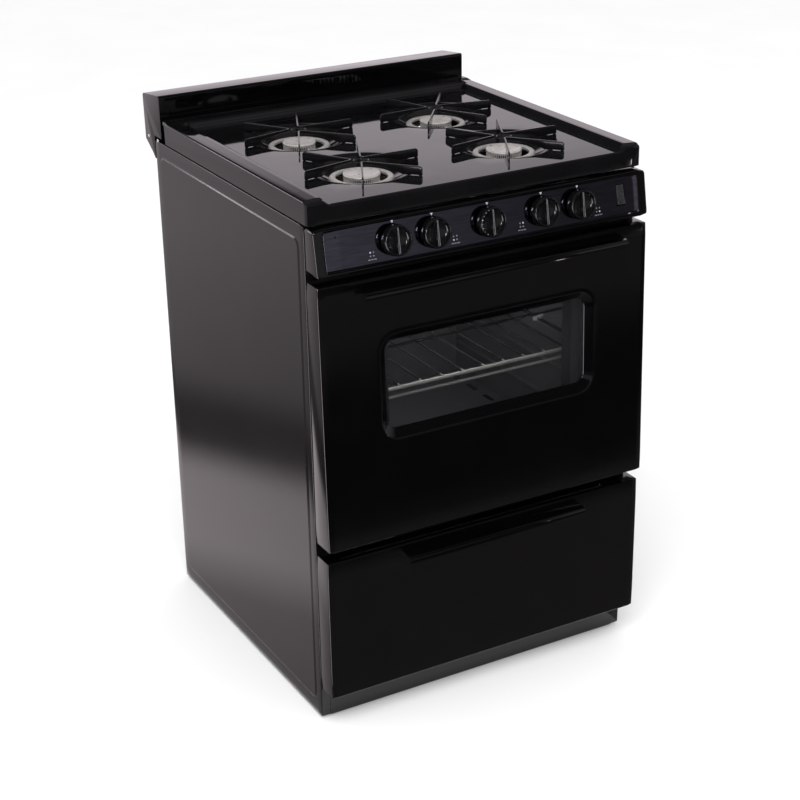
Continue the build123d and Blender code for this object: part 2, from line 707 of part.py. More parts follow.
def main():
    os.makedirs("parts", exist_ok=True)
    save("side_panel_left", side_panel(-1))
    save("side_panel_right", side_panel(1))
    save("rear_panel", rear_panel())
    save("base_frame", *base_frame())
    save("kick_plate", kick_plate())
    save("front_frame", front_frame())
    save("levelling_legs", *levelling_legs())
    save("drawer_rails", *drawer_rails())
    save("oven_liner", oven_liner())
    save("oven_insulation", oven_insulation())
    save("oven_floor_plate", oven_floor_plate())
    save("oven_burner", oven_burner())
    save("oven_lamp", oven_lamp())
    save("oven_gasket", oven_gasket())
    save("oven_rack_lower", oven_rack(RACK_LEVELS[0]))
    save("oven_rack_upper", oven_rack(RACK_LEVELS[1]))
    save("door_skin", door_skin())
    save("door_inner_panel", door_inner_panel())
    save("door_glass", door_glass())
    save("door_inner_glass", door_inner_glass())
    save("door_handle", door_handle())
    save("door_hinge_cups", *door_hinge_cups())
    save("drawer_front", drawer_front())
    save("drawer_body", drawer_body())
    save("drawer_handle", drawer_handle())
    save("drawer_screws", *drawer_screws())
    save("control_panel", control_panel())
    save("panel_overlay", panel_overlay())
    save("light_rocker", light_rocker())
    for name, x in KNOB_PLACES.items():
        save(f"knob_{name}", on_face(x, knob()))
        save(f"stem_{name}", on_face(x, valve_stem()))
    save("manifold", manifold())
    save("burner_valves", *burner_valves())
    save("thermostat", thermostat())
    save("pressure_regulator", pressure_regulator())
    save("gas_inlet", gas_inlet())
    save("power_inlet", power_inlet())
    save("burner_tubes", *burner_tubes())
    save("burner_rails", *burner_rails())
    save("burner_heads", *[burner_head(row, x, y) for _, row, x, y in burner_places()])
    save("spark_electrodes", *spark_electrodes())
    for name, row, x, depth in burner_places():
        save(f"burner_cap_{name}", burner_cap(row, x, depth))
        save(f"grate_{name}", grate(x, depth, GRATE_TURN[name]))
    save("cooktop", cooktop())
    save("cooktop_hinge_pins", *cooktop_hinge_pins())
    save("backguard", backguard())


main()
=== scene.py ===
"""Freestanding gas range: visible pieces, materials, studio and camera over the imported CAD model."""
import math
import bmesh
import bpy
from mathutils import Matrix, Vector


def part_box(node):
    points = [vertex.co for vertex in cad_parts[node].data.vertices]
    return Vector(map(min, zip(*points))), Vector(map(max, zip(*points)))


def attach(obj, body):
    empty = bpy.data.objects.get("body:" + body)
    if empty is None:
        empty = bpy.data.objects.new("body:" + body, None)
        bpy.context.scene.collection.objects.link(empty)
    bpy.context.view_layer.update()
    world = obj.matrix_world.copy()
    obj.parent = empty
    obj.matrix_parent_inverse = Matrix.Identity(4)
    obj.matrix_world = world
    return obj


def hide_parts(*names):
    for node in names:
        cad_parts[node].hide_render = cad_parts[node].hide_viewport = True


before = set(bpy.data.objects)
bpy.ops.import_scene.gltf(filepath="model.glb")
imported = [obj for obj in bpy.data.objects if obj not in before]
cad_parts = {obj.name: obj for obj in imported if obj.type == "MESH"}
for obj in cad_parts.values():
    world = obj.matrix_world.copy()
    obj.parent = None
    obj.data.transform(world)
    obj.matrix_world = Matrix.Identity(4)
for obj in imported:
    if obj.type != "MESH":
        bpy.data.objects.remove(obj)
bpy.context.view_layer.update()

# ---- measures ----

MM = 0.001
SHEET = 1.2    # gauge of the pressed sheets, in millimetres


def low(node):
    return Vector(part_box(node)[0])


def high(node):
    return Vector(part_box(node)[1])


FRONT_EDGE = low("side_panel_left").y


def at(x, depth, z):
    """A point in metres, from millimetres; depth counts back from the side panels' front edge."""
    return Vector((x * MM, FRONT_EDGE + depth * MM, z * MM))


def depth_of(point):
    return (point.y - FRONT_EDGE) / MM


# ---- mesh tools ----

def new_object(name, verts, faces):
    mesh = bpy.data.meshes.new(name)
    mesh.from_pydata([tuple(v) for v in verts], [], faces)
    mesh.validate()
    obj = bpy.data.objects.new(name, mesh)
    bpy.context.scene.collection.objects.link(obj)
    return obj


def finish_mesh(obj, smooth_angle=35, bevel=0.0, segments=2, thickness=0.0):
    """Give a sheet its thickness, round its edges, and shade it smooth between sharp edges."""
    if thickness:
        solid = obj.modifiers.new("thickness", "SOLIDIFY")
        solid.thickness = thickness
        solid.offset = -1
        solid.use_even_offset = True
    if bevel:
        edge = obj.modifiers.new("edges", "BEVEL")
        edge.width = bevel
        edge.segments = segments
        edge.limit_method = "ANGLE"
        edge.angle_limit = math.radians(38)
    if obj.modifiers:
        bpy.context.view_layer.update()
        graph = bpy.context.evaluated_depsgraph_get()
        mesh = bpy.data.meshes.new_from_object(obj.evaluated_get(graph))
        obj.modifiers.clear()
        obj.data = mesh
    for face in obj.data.polygons:
        face.use_smooth = True
    obj.data.set_sharp_from_angle(angle=math.radians(smooth_angle))
    return obj


def fix_normals(obj):
    """Turn every face of a closed or open mesh the same way, outwards where it is closed."""
    mesh = bmesh.new()
    mesh.from_mesh(obj.data)
    bmesh.ops.remove_doubles(mesh, verts=mesh.verts, dist=1e-6)
    bmesh.ops.recalc_face_normals(mesh, faces=mesh.faces)
    mesh.to_mesh(obj.data)
    mesh.free()
    return obj


def joined(name, objects):
    """Merge several meshes into one object."""
    verts, faces = [], []
    for obj in objects:
        start = len(verts)
        verts += [obj.matrix_world @ v.co for v in obj.data.vertices]
        faces += [[start + i for i in face.vertices] for face in obj.data.polygons]
        bpy.data.objects.remove(obj)
    return new_object(name, verts, faces)


def steps(stops, counts):
    """Grid lines: each stretch between two stops is cut into its count of cells."""
    lines = [stops[0]]
    for a, b, n in zip(stops, stops[1:], counts):
        lines += [a + (b - a) * (i + 1) / n for i in range(n)]
    return lines


def smooth(t):
    t = min(max(t, 0.0), 1.0)
    return t * t * (3 - 2 * t)


def rounded_distance(u, v, u0, u1, v0, v1, corner):
    """Signed distance to a rounded rectangle, negative inside."""
    du = abs(u - (u0 + u1) / 2) - (u1 - u0) / 2 + corner
    dv = abs(v - (v0 + v1) / 2) - (v1 - v0) / 2 + corner
    outside = math.hypot(max(du, 0), max(dv, 0))
    return outside + min(max(du, dv), 0) - corner


def corner_reach(u, v, us, vs, corner):
    """Distances into a corner's square along u and v, and the signs that point out of the sheet."""
    du = max(us[0] + corner - u, u - us[-1] + corner, 0)
    dv = max(vs[0] + corner - v, v - vs[-1] + corner, 0)
    su = 1 if u > (us[0] + us[-1]) / 2 else -1
    sv = 1 if v > (vs[0] + vs[-1]) / 2 else -1
    return du, dv, su, sv


def rounded_point(u, v, us, vs, corner):
    """A grid point, pulled in to the round of its nearest corner."""
    du, dv, su, sv = corner_reach(u, v, us, vs, corner)
    if du <= 0 or dv <= 0:
        return u, v
    shrink = max(du, dv) / math.hypot(du, dv)
    return u - su * du * (1 - shrink), v - sv * dv * (1 - shrink)


def outward(u, v, us, vs, corner):
    """Unit direction out of the sheet at a point of its border."""
    du, dv, su, sv = corner_reach(u, v, us, vs, corner)
    if du > 1e-9 and dv > 1e-9:
        size = math.hypot(du, dv)
        return su * du / size, sv * dv / size
    if abs(u - us[0]) < 1e-7 or abs(u - us[-1]) < 1e-7:
        return su, 0
    return 0, sv


def border(i0, i1, j0, j1):
    """Grid keys round a rectangle of cells, in order."""
    loop = [(i, j0) for i in range(i0, i1)] + [(i1, j) for j in range(j0, j1)]
    return loop + [(i, j1) for i in range(i1, i0, -1)] + [(i0, j) for j in range(j1, j0, -1)]


def nearest(values, target):
    return min(range(len(values)), key=lambda i: abs(values[i] - target))


def in_patch(hole, u, v):
    (cu, cv), (hu, hv) = hole["centre"], hole["patch"]
    return abs(u - cu) < hu and abs(v - cv) < hv


def hole_anchors(hole, spots):
    """For each spot round a hole's patch: the nearest place on its outline, and the way out from there."""
    (cu, cv), (a, b), r = hole["centre"], hole["size"], hole["corner"]
    anchors = []
    for u, v in spots:
        near_u = min(max(u - cu, r - a), a - r)
        near_v = min(max(v - cv, r - b), b - r)
        run = math.hypot(u - cu - near_u, v - cv - near_v)
        nu, nv = (u - cu - near_u) / run, (v - cv - near_v) / run
        anchors.append((cu + near_u + nu * r, cv + near_v + nv * r, nu, nv))
    return anchors


def pressed_sheet(us, vs, height, corner, rim, place, holes=()):
    """Open skin pressed from flat stock, on a grid.

    height(u, v) gives the face, corner rounds its four corners, rim(u, v, w) lists the (outward, w)
    steps that turn the border back, and place(u, v, w) puts it all in space. Each hole has a centre, the
    half sizes of its patch in the grid, the half sizes and corner of its outline, and rings of
    (distance outside the outline, w).
    """
    points, faces, index = [], [], {}
    for i, u in enumerate(us):
        for j, v in enumerate(vs):
            ru, rv = rounded_point(u, v, us, vs, corner)
            index[i, j] = len(points)
            points.append((ru, rv, height(ru, rv)))
    for i in range(len(us) - 1):
        for j in range(len(vs) - 1):
            u, v = (us[i] + us[i + 1]) / 2, (vs[j] + vs[j + 1]) / 2
            if not any(in_patch(hole, u, v) for hole in holes):
                faces.append([index[i, j], index[i + 1, j], index[i + 1, j + 1], index[i, j + 1]])

    def grow(loop, rings, flip=False):
        """Add rings of points, each joined to the one before it."""
        n = len(loop)
        for ring in rings:
            added = list(range(len(points), len(points) + n))
            points.extend(ring)
            for k in range(n):
                quad = [loop[k], added[k], added[(k + 1) % n], loop[(k + 1) % n]]
                faces.append(quad[::-1] if flip else quad)
            loop = added

    edge = [index[key] for key in border(0, len(us) - 1, 0, len(vs) - 1)]
    turned = []
    for u, v, w in [points[k] for k in edge]:
        nu, nv = outward(u, v, us, vs, corner)
        turned.append([(u + nu * out, v + nv * out, depth) for out, depth in rim(u, v, w)])
    grow(edge, zip(*turned))

    for hole in holes:
        (cu, cv), (hu, hv) = hole["centre"], hole["patch"]
        keys = border(nearest(us, cu - hu), nearest(us, cu + hu), nearest(vs, cv - hv), nearest(vs, cv + hv))
        patch = [index[key] for key in keys]
        anchors = hole_anchors(hole, [points[k][:2] for k in patch])
        rings = [[(u + nu * out, v + nv * out, depth) for u, v, nu, nv in anchors]
                 for out, depth in hole["rings"]]
        grow(patch, rings, flip=True)
    return [place(*p) for p in points], faces


def quarter(radius, drop, back, count=5):
    """Rim that rolls over a quarter round, runs straight back to drop(u, v) and may end in a hem."""
    def rim(u, v, w):
        turns = [math.pi / 2 * i / count for i in range(1, count + 1)]
        out = [(radius * math.sin(a), w - radius * (1 - math.cos(a))) for a in turns]
        end = drop(u, v)
        if not back:
            return out + [(radius, end)]
        hem = [(radius, end + 1.0), (radius - 0.3, end + 0.3), (radius - 1.0, end), (radius - back, end)]
        return out + hem
    return rim


def lathe(name, profile, place, segments=64, closed=False, notch=None):
    """Turn (radius, height) points; one on the axis becomes one vertex, notch(k, r) may alter a radius."""
    points, faces, rings = [], [], []
    for r, z in profile:
        if r < 1e-6:
            rings.append([len(points)])
            points.append((0, 0, z))
            continue
        ring = []
        for k in range(segments):
            angle = 2 * math.pi * k / segments
            reach = notch(k, r) if notch else r
            ring.append(len(points))
            points.append((reach * math.cos(angle), reach * math.sin(angle), z))
        rings.append(ring)
    pairs = list(zip(rings, rings[1:]))
    if closed:
        pairs.append((rings[-1], rings[0]))
    for a, b in pairs:
        for k in range(segments):
            n = (k + 1) % segments
            quad = [a[k % len(a)], b[k % len(b)], b[n % len(b)], a[n % len(a)]]
            faces.append(list(dict.fromkeys(quad)))
    return fix_normals(new_object(name, [place(*p) for p in points], faces))


def rounded_corners(corners, radii, count=5):
    """Outline whose corners are replaced by arcs."""
    out = []
    n = len(corners)
    for k in range(n):
        p = Vector(corners[k])
        before, after = Vector(corners[k - 1]) - p, Vector(corners[(k + 1) % n]) - p
        r = radii[k] if isinstance(radii, (list, tuple)) else radii
        if r <= 0:
            out.append(tuple(p))
            continue
        a, b = before.normalized(), after.normalized()
        half = a.angle(b) / 2
        reach = min(r / math.tan(half), before.length * 0.49, after.length * 0.49)
        r = reach * math.tan(half)
        centre = p + (a + b).normalized() * (r / math.sin(half))
        start, end = p + a * reach - centre, p + b * reach - centre
        sweep = start.angle(end)
        for i in range(count + 1):
            t = i / count
            point = (start * math.sin((1 - t) * sweep) + end * math.sin(t * sweep)) / math.sin(sweep)
            out.append(tuple(centre + point))
    return out


def smooth_path(points, radii, count=5):
    """Open path whose inner corners are replaced by short curves."""
    out = [points[0]]
    for k in range(1, len(points) - 1):
        p = Vector(points[k])
        a, b = Vector(points[k - 1]) - p, Vector(points[k + 1]) - p
        half = a.angle(b) / 2
        reach = min(radii[k] / math.tan(half), a.length * 0.48, b.length * 0.48)
        start, end = p + a.normalized() * reach, p + b.normalized() * reach
        for i in range(count + 1):
            t = i / count
            out.append(tuple(start * (1 - t) ** 2 + p * 2 * t * (1 - t) + end * t * t))
    return out + [points[-1]]


def path_normals(path):
    """Unit normal to the left of an open path, at each of its points."""
    out = []
    for k in range(len(path)):
        a = Vector(path[max(k - 1, 0)])
        b = Vector(path[min(k + 1, len(path) - 1)])
        run = (b - a).normalized()
        out.append((-run.y, run.x))
    return out


def extruded(name, outline, place, z0, z1, bevel=0.0, segments=2):
    """Closed prism from an outline, between two levels along its third axis."""
    n = len(outline)
    points = [place(a, b, z0) for a, b in outline] + [place(a, b, z1) for a, b in outline]
    faces = [list(range(n))[::-1], list(range(n, 2 * n))]
    faces += [[k, (k + 1) % n, n + (k + 1) % n, n + k] for k in range(n)]
    obj = fix_normals(new_object(name, points, faces))
    return finish_mesh(obj, bevel=bevel, segments=segments)


def grid(start, end, bands, step):
    """Grid lines from start to end: fine inside each (centre, half, cells) band, coarse between."""
    lines = [start]
    for centre, half, cells in sorted(bands) + [(end, 0, 0)]:
        a = centre - half
        gap = a - lines[-1]
        if gap > 1e-6:
            n = math.ceil(gap / step)
            first = lines[-1]
            lines += [first + gap * (i + 1) / n for i in range(n)]
        lines += [a + 2 * half * (i + 1) / cells for i in range(cells)]
    return lines


def sheet_piece(name, us, vs, height, corner, rim, place, holes=(), thickness=SHEET):
    """A pressed sheet as a closed solid piece; its sizes are in millimetres."""
    verts, faces = pressed_sheet(us, vs, height, corner, rim, place, holes)
    o = place(0, 0, 0)
    across, along = place(1, 0, 0) - o, place(0, 1, 0) - o
    if across.cross(along).dot(place(0, 0, 1) - o) < 0:
        faces = [face[::-1] for face in faces]
    return finish_mesh(new_object(name, verts, faces), thickness=thickness * MM)


def give(obj, body, mat, slot, *nodes):
    """Material and body of a piece, and the CAD nodes it stands for; its slot is not used."""
    obj.data.materials.append(mat)
    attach(obj, body)
    if nodes:
        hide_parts(*nodes)


# ---- materials ----

def fill(node, values):
    """Set a node's own sockets."""
    for socket, value in values.items():
        node.inputs[socket].default_value = value
    return node


def nodes_of(name, color, roughness, metallic=0.0, specular=0.5, alpha=1.0):
    mat = bpy.data.materials.new(name)
    mat.use_nodes = True
    tree = mat.node_tree
    shader = tree.nodes["Principled BSDF"]
    fill(shader, {"Base Color": (*color, 1), "Roughness": roughness, "Metallic": metallic,
                  "Specular IOR Level": specular, "Alpha": alpha})
    return mat, tree, shader


def own_space(tree):
    return tree.nodes.new("ShaderNodeTexCoord").outputs["Object"]


def noise(tree, scale, detail=2.0, stretch=(1, 1, 1)):
    """Noise over the object's own space."""
    mapping = fill(tree.nodes.new("ShaderNodeMapping"), {"Scale": stretch})
    field = fill(tree.nodes.new("ShaderNodeTexNoise"), {"Scale": scale, "Detail": detail})
    tree.links.new(own_space(tree), mapping.inputs["Vector"])
    tree.links.new(mapping.outputs["Vector"], field.inputs["Vector"])
    return field.outputs["Fac"]


def ramp(tree, value, stops):
    node = tree.nodes.new("ShaderNodeValToRGB")
    while len(node.color_ramp.elements) < len(stops):
        node.color_ramp.elements.new(0.5)
    for element, (place, color) in zip(node.color_ramp.elements, stops):
        element.position = place
        element.color = (*color, 1)
    tree.links.new(value, node.inputs["Fac"])
    return node.outputs["Color"]


def ranged(tree, value, start, end, low_at=0.0, high_at=1.0):
    node = fill(tree.nodes.new("ShaderNodeMapRange"),
                {"From Min": low_at, "From Max": high_at, "To Min": start, "To Max": end})
    tree.links.new(value, node.inputs["Value"])
    return node.outputs["Result"]


def bump(tree, shader, value, distance, strength=1.0):
    node = fill(tree.nodes.new("ShaderNodeBump"), {"Distance": distance, "Strength": strength})
    tree.links.new(value, node.inputs["Height"])
    tree.links.new(node.outputs["Normal"], shader.inputs["Normal"])


def two_tone(tree, shader, value, dark, light, low_at=0.35, high_at=0.65):
    tree.links.new(ramp(tree, value, [(low_at, dark), (high_at, light)]), shader.inputs["Base Color"])


def enamel(name, color, roughness, wave=0.00006):
    """Porcelain enamel: deep gloss, a faint long ripple, and slightly uneven polish."""
    mat, tree, shader = nodes_of(name, color, roughness)
    wide = noise(tree, 14, 1.0)
    two_tone(tree, shader, wide, tuple(c * 0.85 for c in color), tuple(c * 1.2 for c in color))
    fine = noise(tree, 90, 3.0)
    tree.links.new(ranged(tree, fine, roughness * 0.8, roughness * 1.25), shader.inputs["Roughness"])
    bump(tree, shader, noise(tree, 32, 1.0), wave, 0.6)
    return mat


def brushed(name, dark, light, roughness, stretch, scale=160, metallic=1.0):
    """Metal or film with fine lines along one direction."""
    mat, tree, shader = nodes_of(name, light, roughness, metallic=metallic)
    lines = noise(tree, scale, 3.0, stretch)
    two_tone(tree, shader, lines, dark, light, 0.3, 0.7)
    tree.links.new(ranged(tree, lines, roughness * 0.8, roughness * 1.3), shader.inputs["Roughness"])
    bump(tree, shader, lines, 0.00003, 0.5)
    return mat


def grainy(name, dark, light, roughness, scale, depth, metallic=0.0):
    """Cast, moulded or woven surface with a fine grain."""
    mat, tree, shader = nodes_of(name, light, roughness, metallic=metallic)
    grain = noise(tree, scale, 4.0)
    two_tone(tree, shader, grain, dark, light)
    tree.links.new(ranged(tree, noise(tree, scale * 0.2, 2.0), roughness * 0.85, roughness * 1.15),
                   shader.inputs["Roughness"])
    bump(tree, shader, grain, depth, 0.7)
    return mat


def spangled():
    """Zinc coated steel with crystal patches."""
    mat, tree, shader = nodes_of("zinc_steel", (0.5, 0.51, 0.52), 0.38, metallic=1.0)
    cells = fill(tree.nodes.new("ShaderNodeTexVoronoi"), {"Scale": 60})
    tree.links.new(own_space(tree), cells.inputs["Vector"])
    two_tone(tree, shader, cells.outputs["Color"], (0.46, 0.47, 0.48), (0.54, 0.55, 0.56), 0.2, 0.8)
    tree.links.new(ranged(tree, noise(tree, 60), 0.3, 0.46), shader.inputs["Roughness"])
    return mat


def speckled():
    """Dark oven enamel with pale flecks."""
    mat, tree, shader = nodes_of("oven_enamel", (0.038, 0.036, 0.04), 0.3)
    flecks = noise(tree, 900, 1.0)
    two_tone(tree, shader, flecks, (0.03, 0.0285, 0.032), (0.22, 0.22, 0.23), 0.64, 0.74)
    bump(tree, shader, noise(tree, 120), 0.0001, 0.4)
    return mat


def painted_light_rack(name, bright, painted_shade_color, front, fade=0.03):
    """Rack chrome with painted light: its front rail is painted bright as if lit, and the rods behind it
    fade to painted shade.
    """
    mat, tree, shader = nodes_of(name, bright, 0.25, metallic=0.6)
    apart = tree.nodes.new("ShaderNodeSeparateXYZ")
    tree.links.new(own_space(tree), apart.inputs["Vector"])
    # painted shade: the colour darkens from the front rail backwards, standing in for light that falls only
    # on the front
    painted_shade_behind = ranged(tree, apart.outputs["Y"], 0, 1, front, front + fade)
    two_tone(tree, shader, painted_shade_behind, bright, painted_shade_color, 0.2, 0.6)
    grain = noise(tree, 160, 3.0, (1, 6, 1))
    tree.links.new(ranged(tree, grain, 0.18, 0.32), shader.inputs["Roughness"])
    bump(tree, shader, grain, 0.00003, 0.5)
    return mat


def tinted_glass(name, color, alpha):
    mat, tree, shader = nodes_of(name, color, 0.02, alpha=alpha)
    two_tone(tree, shader, noise(tree, 9), tuple(c * 0.8 for c in color), color)
    bump(tree, shader, noise(tree, 12), 0.00003, 0.3)
    return mat


BLACK = enamel("porcelain_black", (0.0009, 0.0009, 0.001), 0.06)
SIDE_BLACK = enamel("porcelain_side", (0.0035, 0.0033, 0.0036), 0.13)
TOP_BLACK = enamel("porcelain_top", (0.003, 0.003, 0.0033), 0.045)
GRATE_BLACK = enamel("grate_enamel", (0.004, 0.004, 0.0045), 0.13, wave=0.0001)
OVERLAY = brushed("overlay_film", (0.092, 0.089, 0.112), (0.132, 0.128, 0.160), 0.075, (1, 14, 14), scale=26)
KNOB_BLACK = grainy("knob_plastic", (0.002, 0.002, 0.002), (0.0035, 0.0035, 0.004), 0.17, 500, 0.00001)
MARK_WHITE = grainy("mark_paint", (0.36, 0.36, 0.43), (0.43, 0.43, 0.5), 0.5, 900, 0.00001)
MARK_DIM = grainy("mark_grey", (0.10, 0.10, 0.115), (0.14, 0.14, 0.155), 0.5, 900, 0.00001)
ROCKER = grainy("rocker_plastic", (0.012, 0.012, 0.013), (0.02, 0.02, 0.022), 0.22, 400, 0.00002)
CAST = grainy("cast_aluminium", (0.42, 0.40, 0.385), (0.58, 0.555, 0.54), 0.34, 260, 0.00008, metallic=0.5)
CAP = brushed("cap_aluminium", (0.48, 0.45, 0.435), (0.60, 0.565, 0.55), 0.28, (1, 1, 1), scale=120,
              metallic=0.4)
BRASS = brushed("valve_brass", (0.42, 0.31, 0.14), (0.62, 0.48, 0.24), 0.3, (1, 8, 1))
STEEL = brushed("bare_steel", (0.30, 0.30, 0.31), (0.45, 0.45, 0.46), 0.35, (1, 12, 1))
CHROME = brushed("screw_chrome", (0.62, 0.61, 0.60), (0.80, 0.79, 0.77), 0.2, (1, 6, 1), metallic=0.6)
RACK_FRONT = low("oven_rack_lower").y
# Painted light on the racks: the lower rack's front rail is painted bright as if lit and the rods behind it
# are painted dark as shade; the upper rack is painted dark throughout as shade.
PAINTED_LIGHT_RACK = painted_light_rack("rack_chrome_painted_lit_front", (0.6, 0.585, 0.565), (0.025, 0.025, 0.027), RACK_FRONT)
PAINTED_SHADE_RACK = painted_light_rack("rack_chrome_painted_shade", (0.06, 0.06, 0.06), (0.025, 0.025, 0.027), RACK_FRONT)
ZINC = spangled()
OVEN = speckled()
WOOL = grainy("mineral_wool", (0.42, 0.34, 0.2), (0.66, 0.58, 0.4), 0.95, 300, 0.002)
BRAID = grainy("glass_braid", (0.2, 0.19, 0.18), (0.36, 0.35, 0.33), 0.9, 700, 0.0006)
RUBBER = grainy("foot_rubber", (0.016, 0.016, 0.016), (0.028, 0.028, 0.028), 0.7, 400, 0.0002)
CERAMIC = grainy("electrode_ceramic", (0.7, 0.68, 0.62), (0.82, 0.8, 0.75), 0.35, 300, 0.00003)
GLASS = tinted_glass("window_glass", (0.006, 0.007, 0.007), 0.15)
INNER_GLASS = tinted_glass("inner_glass", (0.01, 0.011, 0.011), 0.12)
LAMP_GLASS = tinted_glass("lamp_glass", (0.8, 0.78, 0.7), 0.5)

CARRIED = {
    ZINC: ("rear_panel", "base_frame", "drawer_rails", "drawer_body", "burner_rails",
           "cooktop_hinge_pins", "door_hinge_cups"),
    BLACK: ("front_frame", "kick_plate", "drawer_screws"),
    OVEN: ("oven_liner", "oven_floor_plate", "door_inner_panel"),
    WOOL: ("oven_insulation",),
    BRAID: ("oven_gasket",),
    RUBBER: ("levelling_legs", "power_inlet"),
    STEEL: ("oven_burner", "manifold", "gas_inlet"),
    BRASS: ("burner_valves", "thermostat"),
    CAST: ("pressure_regulator", "burner_tubes"),
    CERAMIC: ("spark_electrodes",),
    PAINTED_LIGHT_RACK: ("oven_rack_lower",),
    PAINTED_SHADE_RACK: ("oven_rack_upper",),
    LAMP_GLASS: ("oven_lamp",),
    INNER_GLASS: ("door_inner_glass",),
}
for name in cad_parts:
    if name.startswith("stem_"):
        CARRIED[BRASS] += (name,)
for mat, names in CARRIED.items():
    for name in names:
        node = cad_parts[name]
        node.data.materials.clear()
        node.data.materials.append(mat)


# ---- side panels ----

BODY_HALF = high("side_panel_right").x / MM
BODY_DEPTH = depth_of(high("side_panel_left"))
BODY_TOP = high("side_panel_left").z / MM
BODY_FOOT = low("side_panel_left").z / MM


def side_panel(side, name):
    """Side sheet with a large slightly raised field, folded in at all four edges."""
    edge, flange = 1.8, 18
    y0, y1, z0, z1 = 15.5, 554.5, 29.5, 840.5
    corner, depth, step = 16, 1.8, 4

    def height(u, v):
        return -depth * smooth(1 + rounded_distance(u, v, y0, y1, z0, z1, corner) / step)

    us = grid(edge, BODY_DEPTH - edge, [(y0 + 10, 11, 24), (y1 - 10, 11, 24)], 30)
    vs = grid(BODY_FOOT + edge, BODY_TOP - edge, [(z0 + 10, 11, 24), (z1 - 10, 11, 24)], 40)
    obj = sheet_piece(name, us, vs, height, 1.0, quarter(edge, lambda u, v: -flange, 0, 3),
                      lambda u, v, w: at(side * (BODY_HALF + w), u, v))
    give(obj, "chassis", SIDE_BLACK, "porcelain_black", name)


side_panel(-1, "side_panel_left")
side_panel(1, "side_panel_right")


# ---- door ----

DOOR_LOW, DOOR_HIGH = low("door_skin"), high("door_skin")
DOOR_Z0, DOOR_Z1 = DOOR_LOW.z / MM, DOOR_HIGH.z / MM
DOOR_FOOT = depth_of(DOOR_LOW)
DOOR_LEAN = 11.2
FRONT_HALF = DOOR_HIGH.x / MM
BACK_DEPTH = -2.0    # where the front sheets' returned edges end
EDGE = 2.5
CREASE = 293.0
CREASES = [(-CREASE, 0.6, 2), (CREASE, 0.6, 2)]
WINDOW = {"centre": (0, 593.5), "size": (186.5, 74.0), "corner": 17.0}
WINDOW_PATCH = (216, 103)


def door_face(z):
    """Depth of the leaning door face at a height."""
    return DOOR_FOOT + DOOR_LEAN * (z - DOOR_Z0) / (DOOR_Z1 - DOOR_Z0)


def margin(u, v):
    """Front sheets fall back a little outside a crease near each side edge."""
    return -0.16 * max(0.0, abs(u) - CREASE)


def door_skin():
    """Leaning front sheet, with a bezel that slopes in to the window."""
    rings = [(22, 0.0), (15.2, 0.0), (14.2, -0.2), (13.2, -0.8), (12.2, -1.6), (3.0, -8.2), (1.2, -9.3),
             (0.4, -9.9), (0, -10.8)]
    hole = dict(WINDOW, patch=WINDOW_PATCH, rings=rings)
    cv = WINDOW["centre"][1]
    fine = 26
    hu, hv = WINDOW_PATCH[0] - fine, WINDOW_PATCH[1] - fine
    us = grid(-FRONT_HALF + EDGE, FRONT_HALF - EDGE,
              CREASES + [(-hu, fine, 14), (0, hu - fine, 12), (hu, fine, 14)], 26)
    vs = grid(DOOR_Z0 + EDGE, DOOR_Z1 - EDGE,
              [(cv - hv, fine, 14), (cv, hv - fine, 6), (cv + hv, fine, 14)], 26)
    obj = sheet_piece("door_skin", us, vs, margin, 1.0,
                      quarter(EDGE, lambda u, v: door_face(v) - BACK_DEPTH, 4),
                      lambda u, v, w: at(u, door_face(v) - w, v), holes=[hole])
    give(obj, "door", BLACK, "porcelain_black", "door_skin")


def door_glass():
    """Pane behind the bezel, larger than the opening by its overlap."""
    overlap = 6
    a, b = (half + overlap for half in WINDOW["size"])
    cv = WINDOW["centre"][1]
    outline = rounded_corners([(-a, cv - b), (a, cv - b), (a, cv + b), (-a, cv + b)], 22, 8)
    obj = extruded("door_glass", outline, lambda u, v, w: at(u, door_face(v) + w, v), 12.2, 15.4, 0.0004)
    give(obj, "door", GLASS, "window_glass", "door_glass")


door_skin()
door_glass()


def ledge_pull(name, half, root, z_root, z_lip, drop, body):
    """Bent sheet pull: a plate that slopes down and out, then turns down into a rounded lip."""
    reach = depth_of(low(name))
    path = [(root, z_root - 15), (root, z_root - 1.5), (reach + 4.5, z_lip + 0.5),
            (reach + 2.2, z_lip - 3.2), (reach + 0.8, z_lip - drop)]
    path = smooth_path(path, (0, 2.5, 4.0, 2.5, 0))
    thick = 1.6
    upper = [(y + ny * thick, z + nz * thick) for (y, z), (ny, nz) in zip(path, path_normals(path))]
    outline = path + upper[::-1]
    obj = extruded(name, outline, lambda a, b, c: at(c, a, b), -half, half, 0.0005, 2)
    give(obj, body, BLACK, "porcelain_black", name)


ledge_pull("door_handle", 240, door_face(771) - 0.3, 772.0, 767.0, 10, "door")


# ---- drawer ----

DRAWER_LOW, DRAWER_HIGH = low("drawer_front"), high("drawer_front")
DRAWER_FACE = depth_of(DRAWER_LOW)


def drawer_front():
    us = grid(-FRONT_HALF + EDGE, FRONT_HALF - EDGE, CREASES, 40)
    vs = grid(DRAWER_LOW.z / MM + EDGE, DRAWER_HIGH.z / MM - EDGE, [], 40)
    obj = sheet_piece("drawer_front", us, vs, margin, 1.0,
                      quarter(EDGE, lambda u, v: DRAWER_FACE - BACK_DEPTH, 4),
                      lambda u, v, w: at(u, DRAWER_FACE - w, v))
    give(obj, "drawer", BLACK, "porcelain_black", "drawer_front")


drawer_front()
ledge_pull("drawer_handle", 170, DRAWER_FACE - 0.3, 307.5, 303.0, 11, "drawer")


# ---- control panel ----

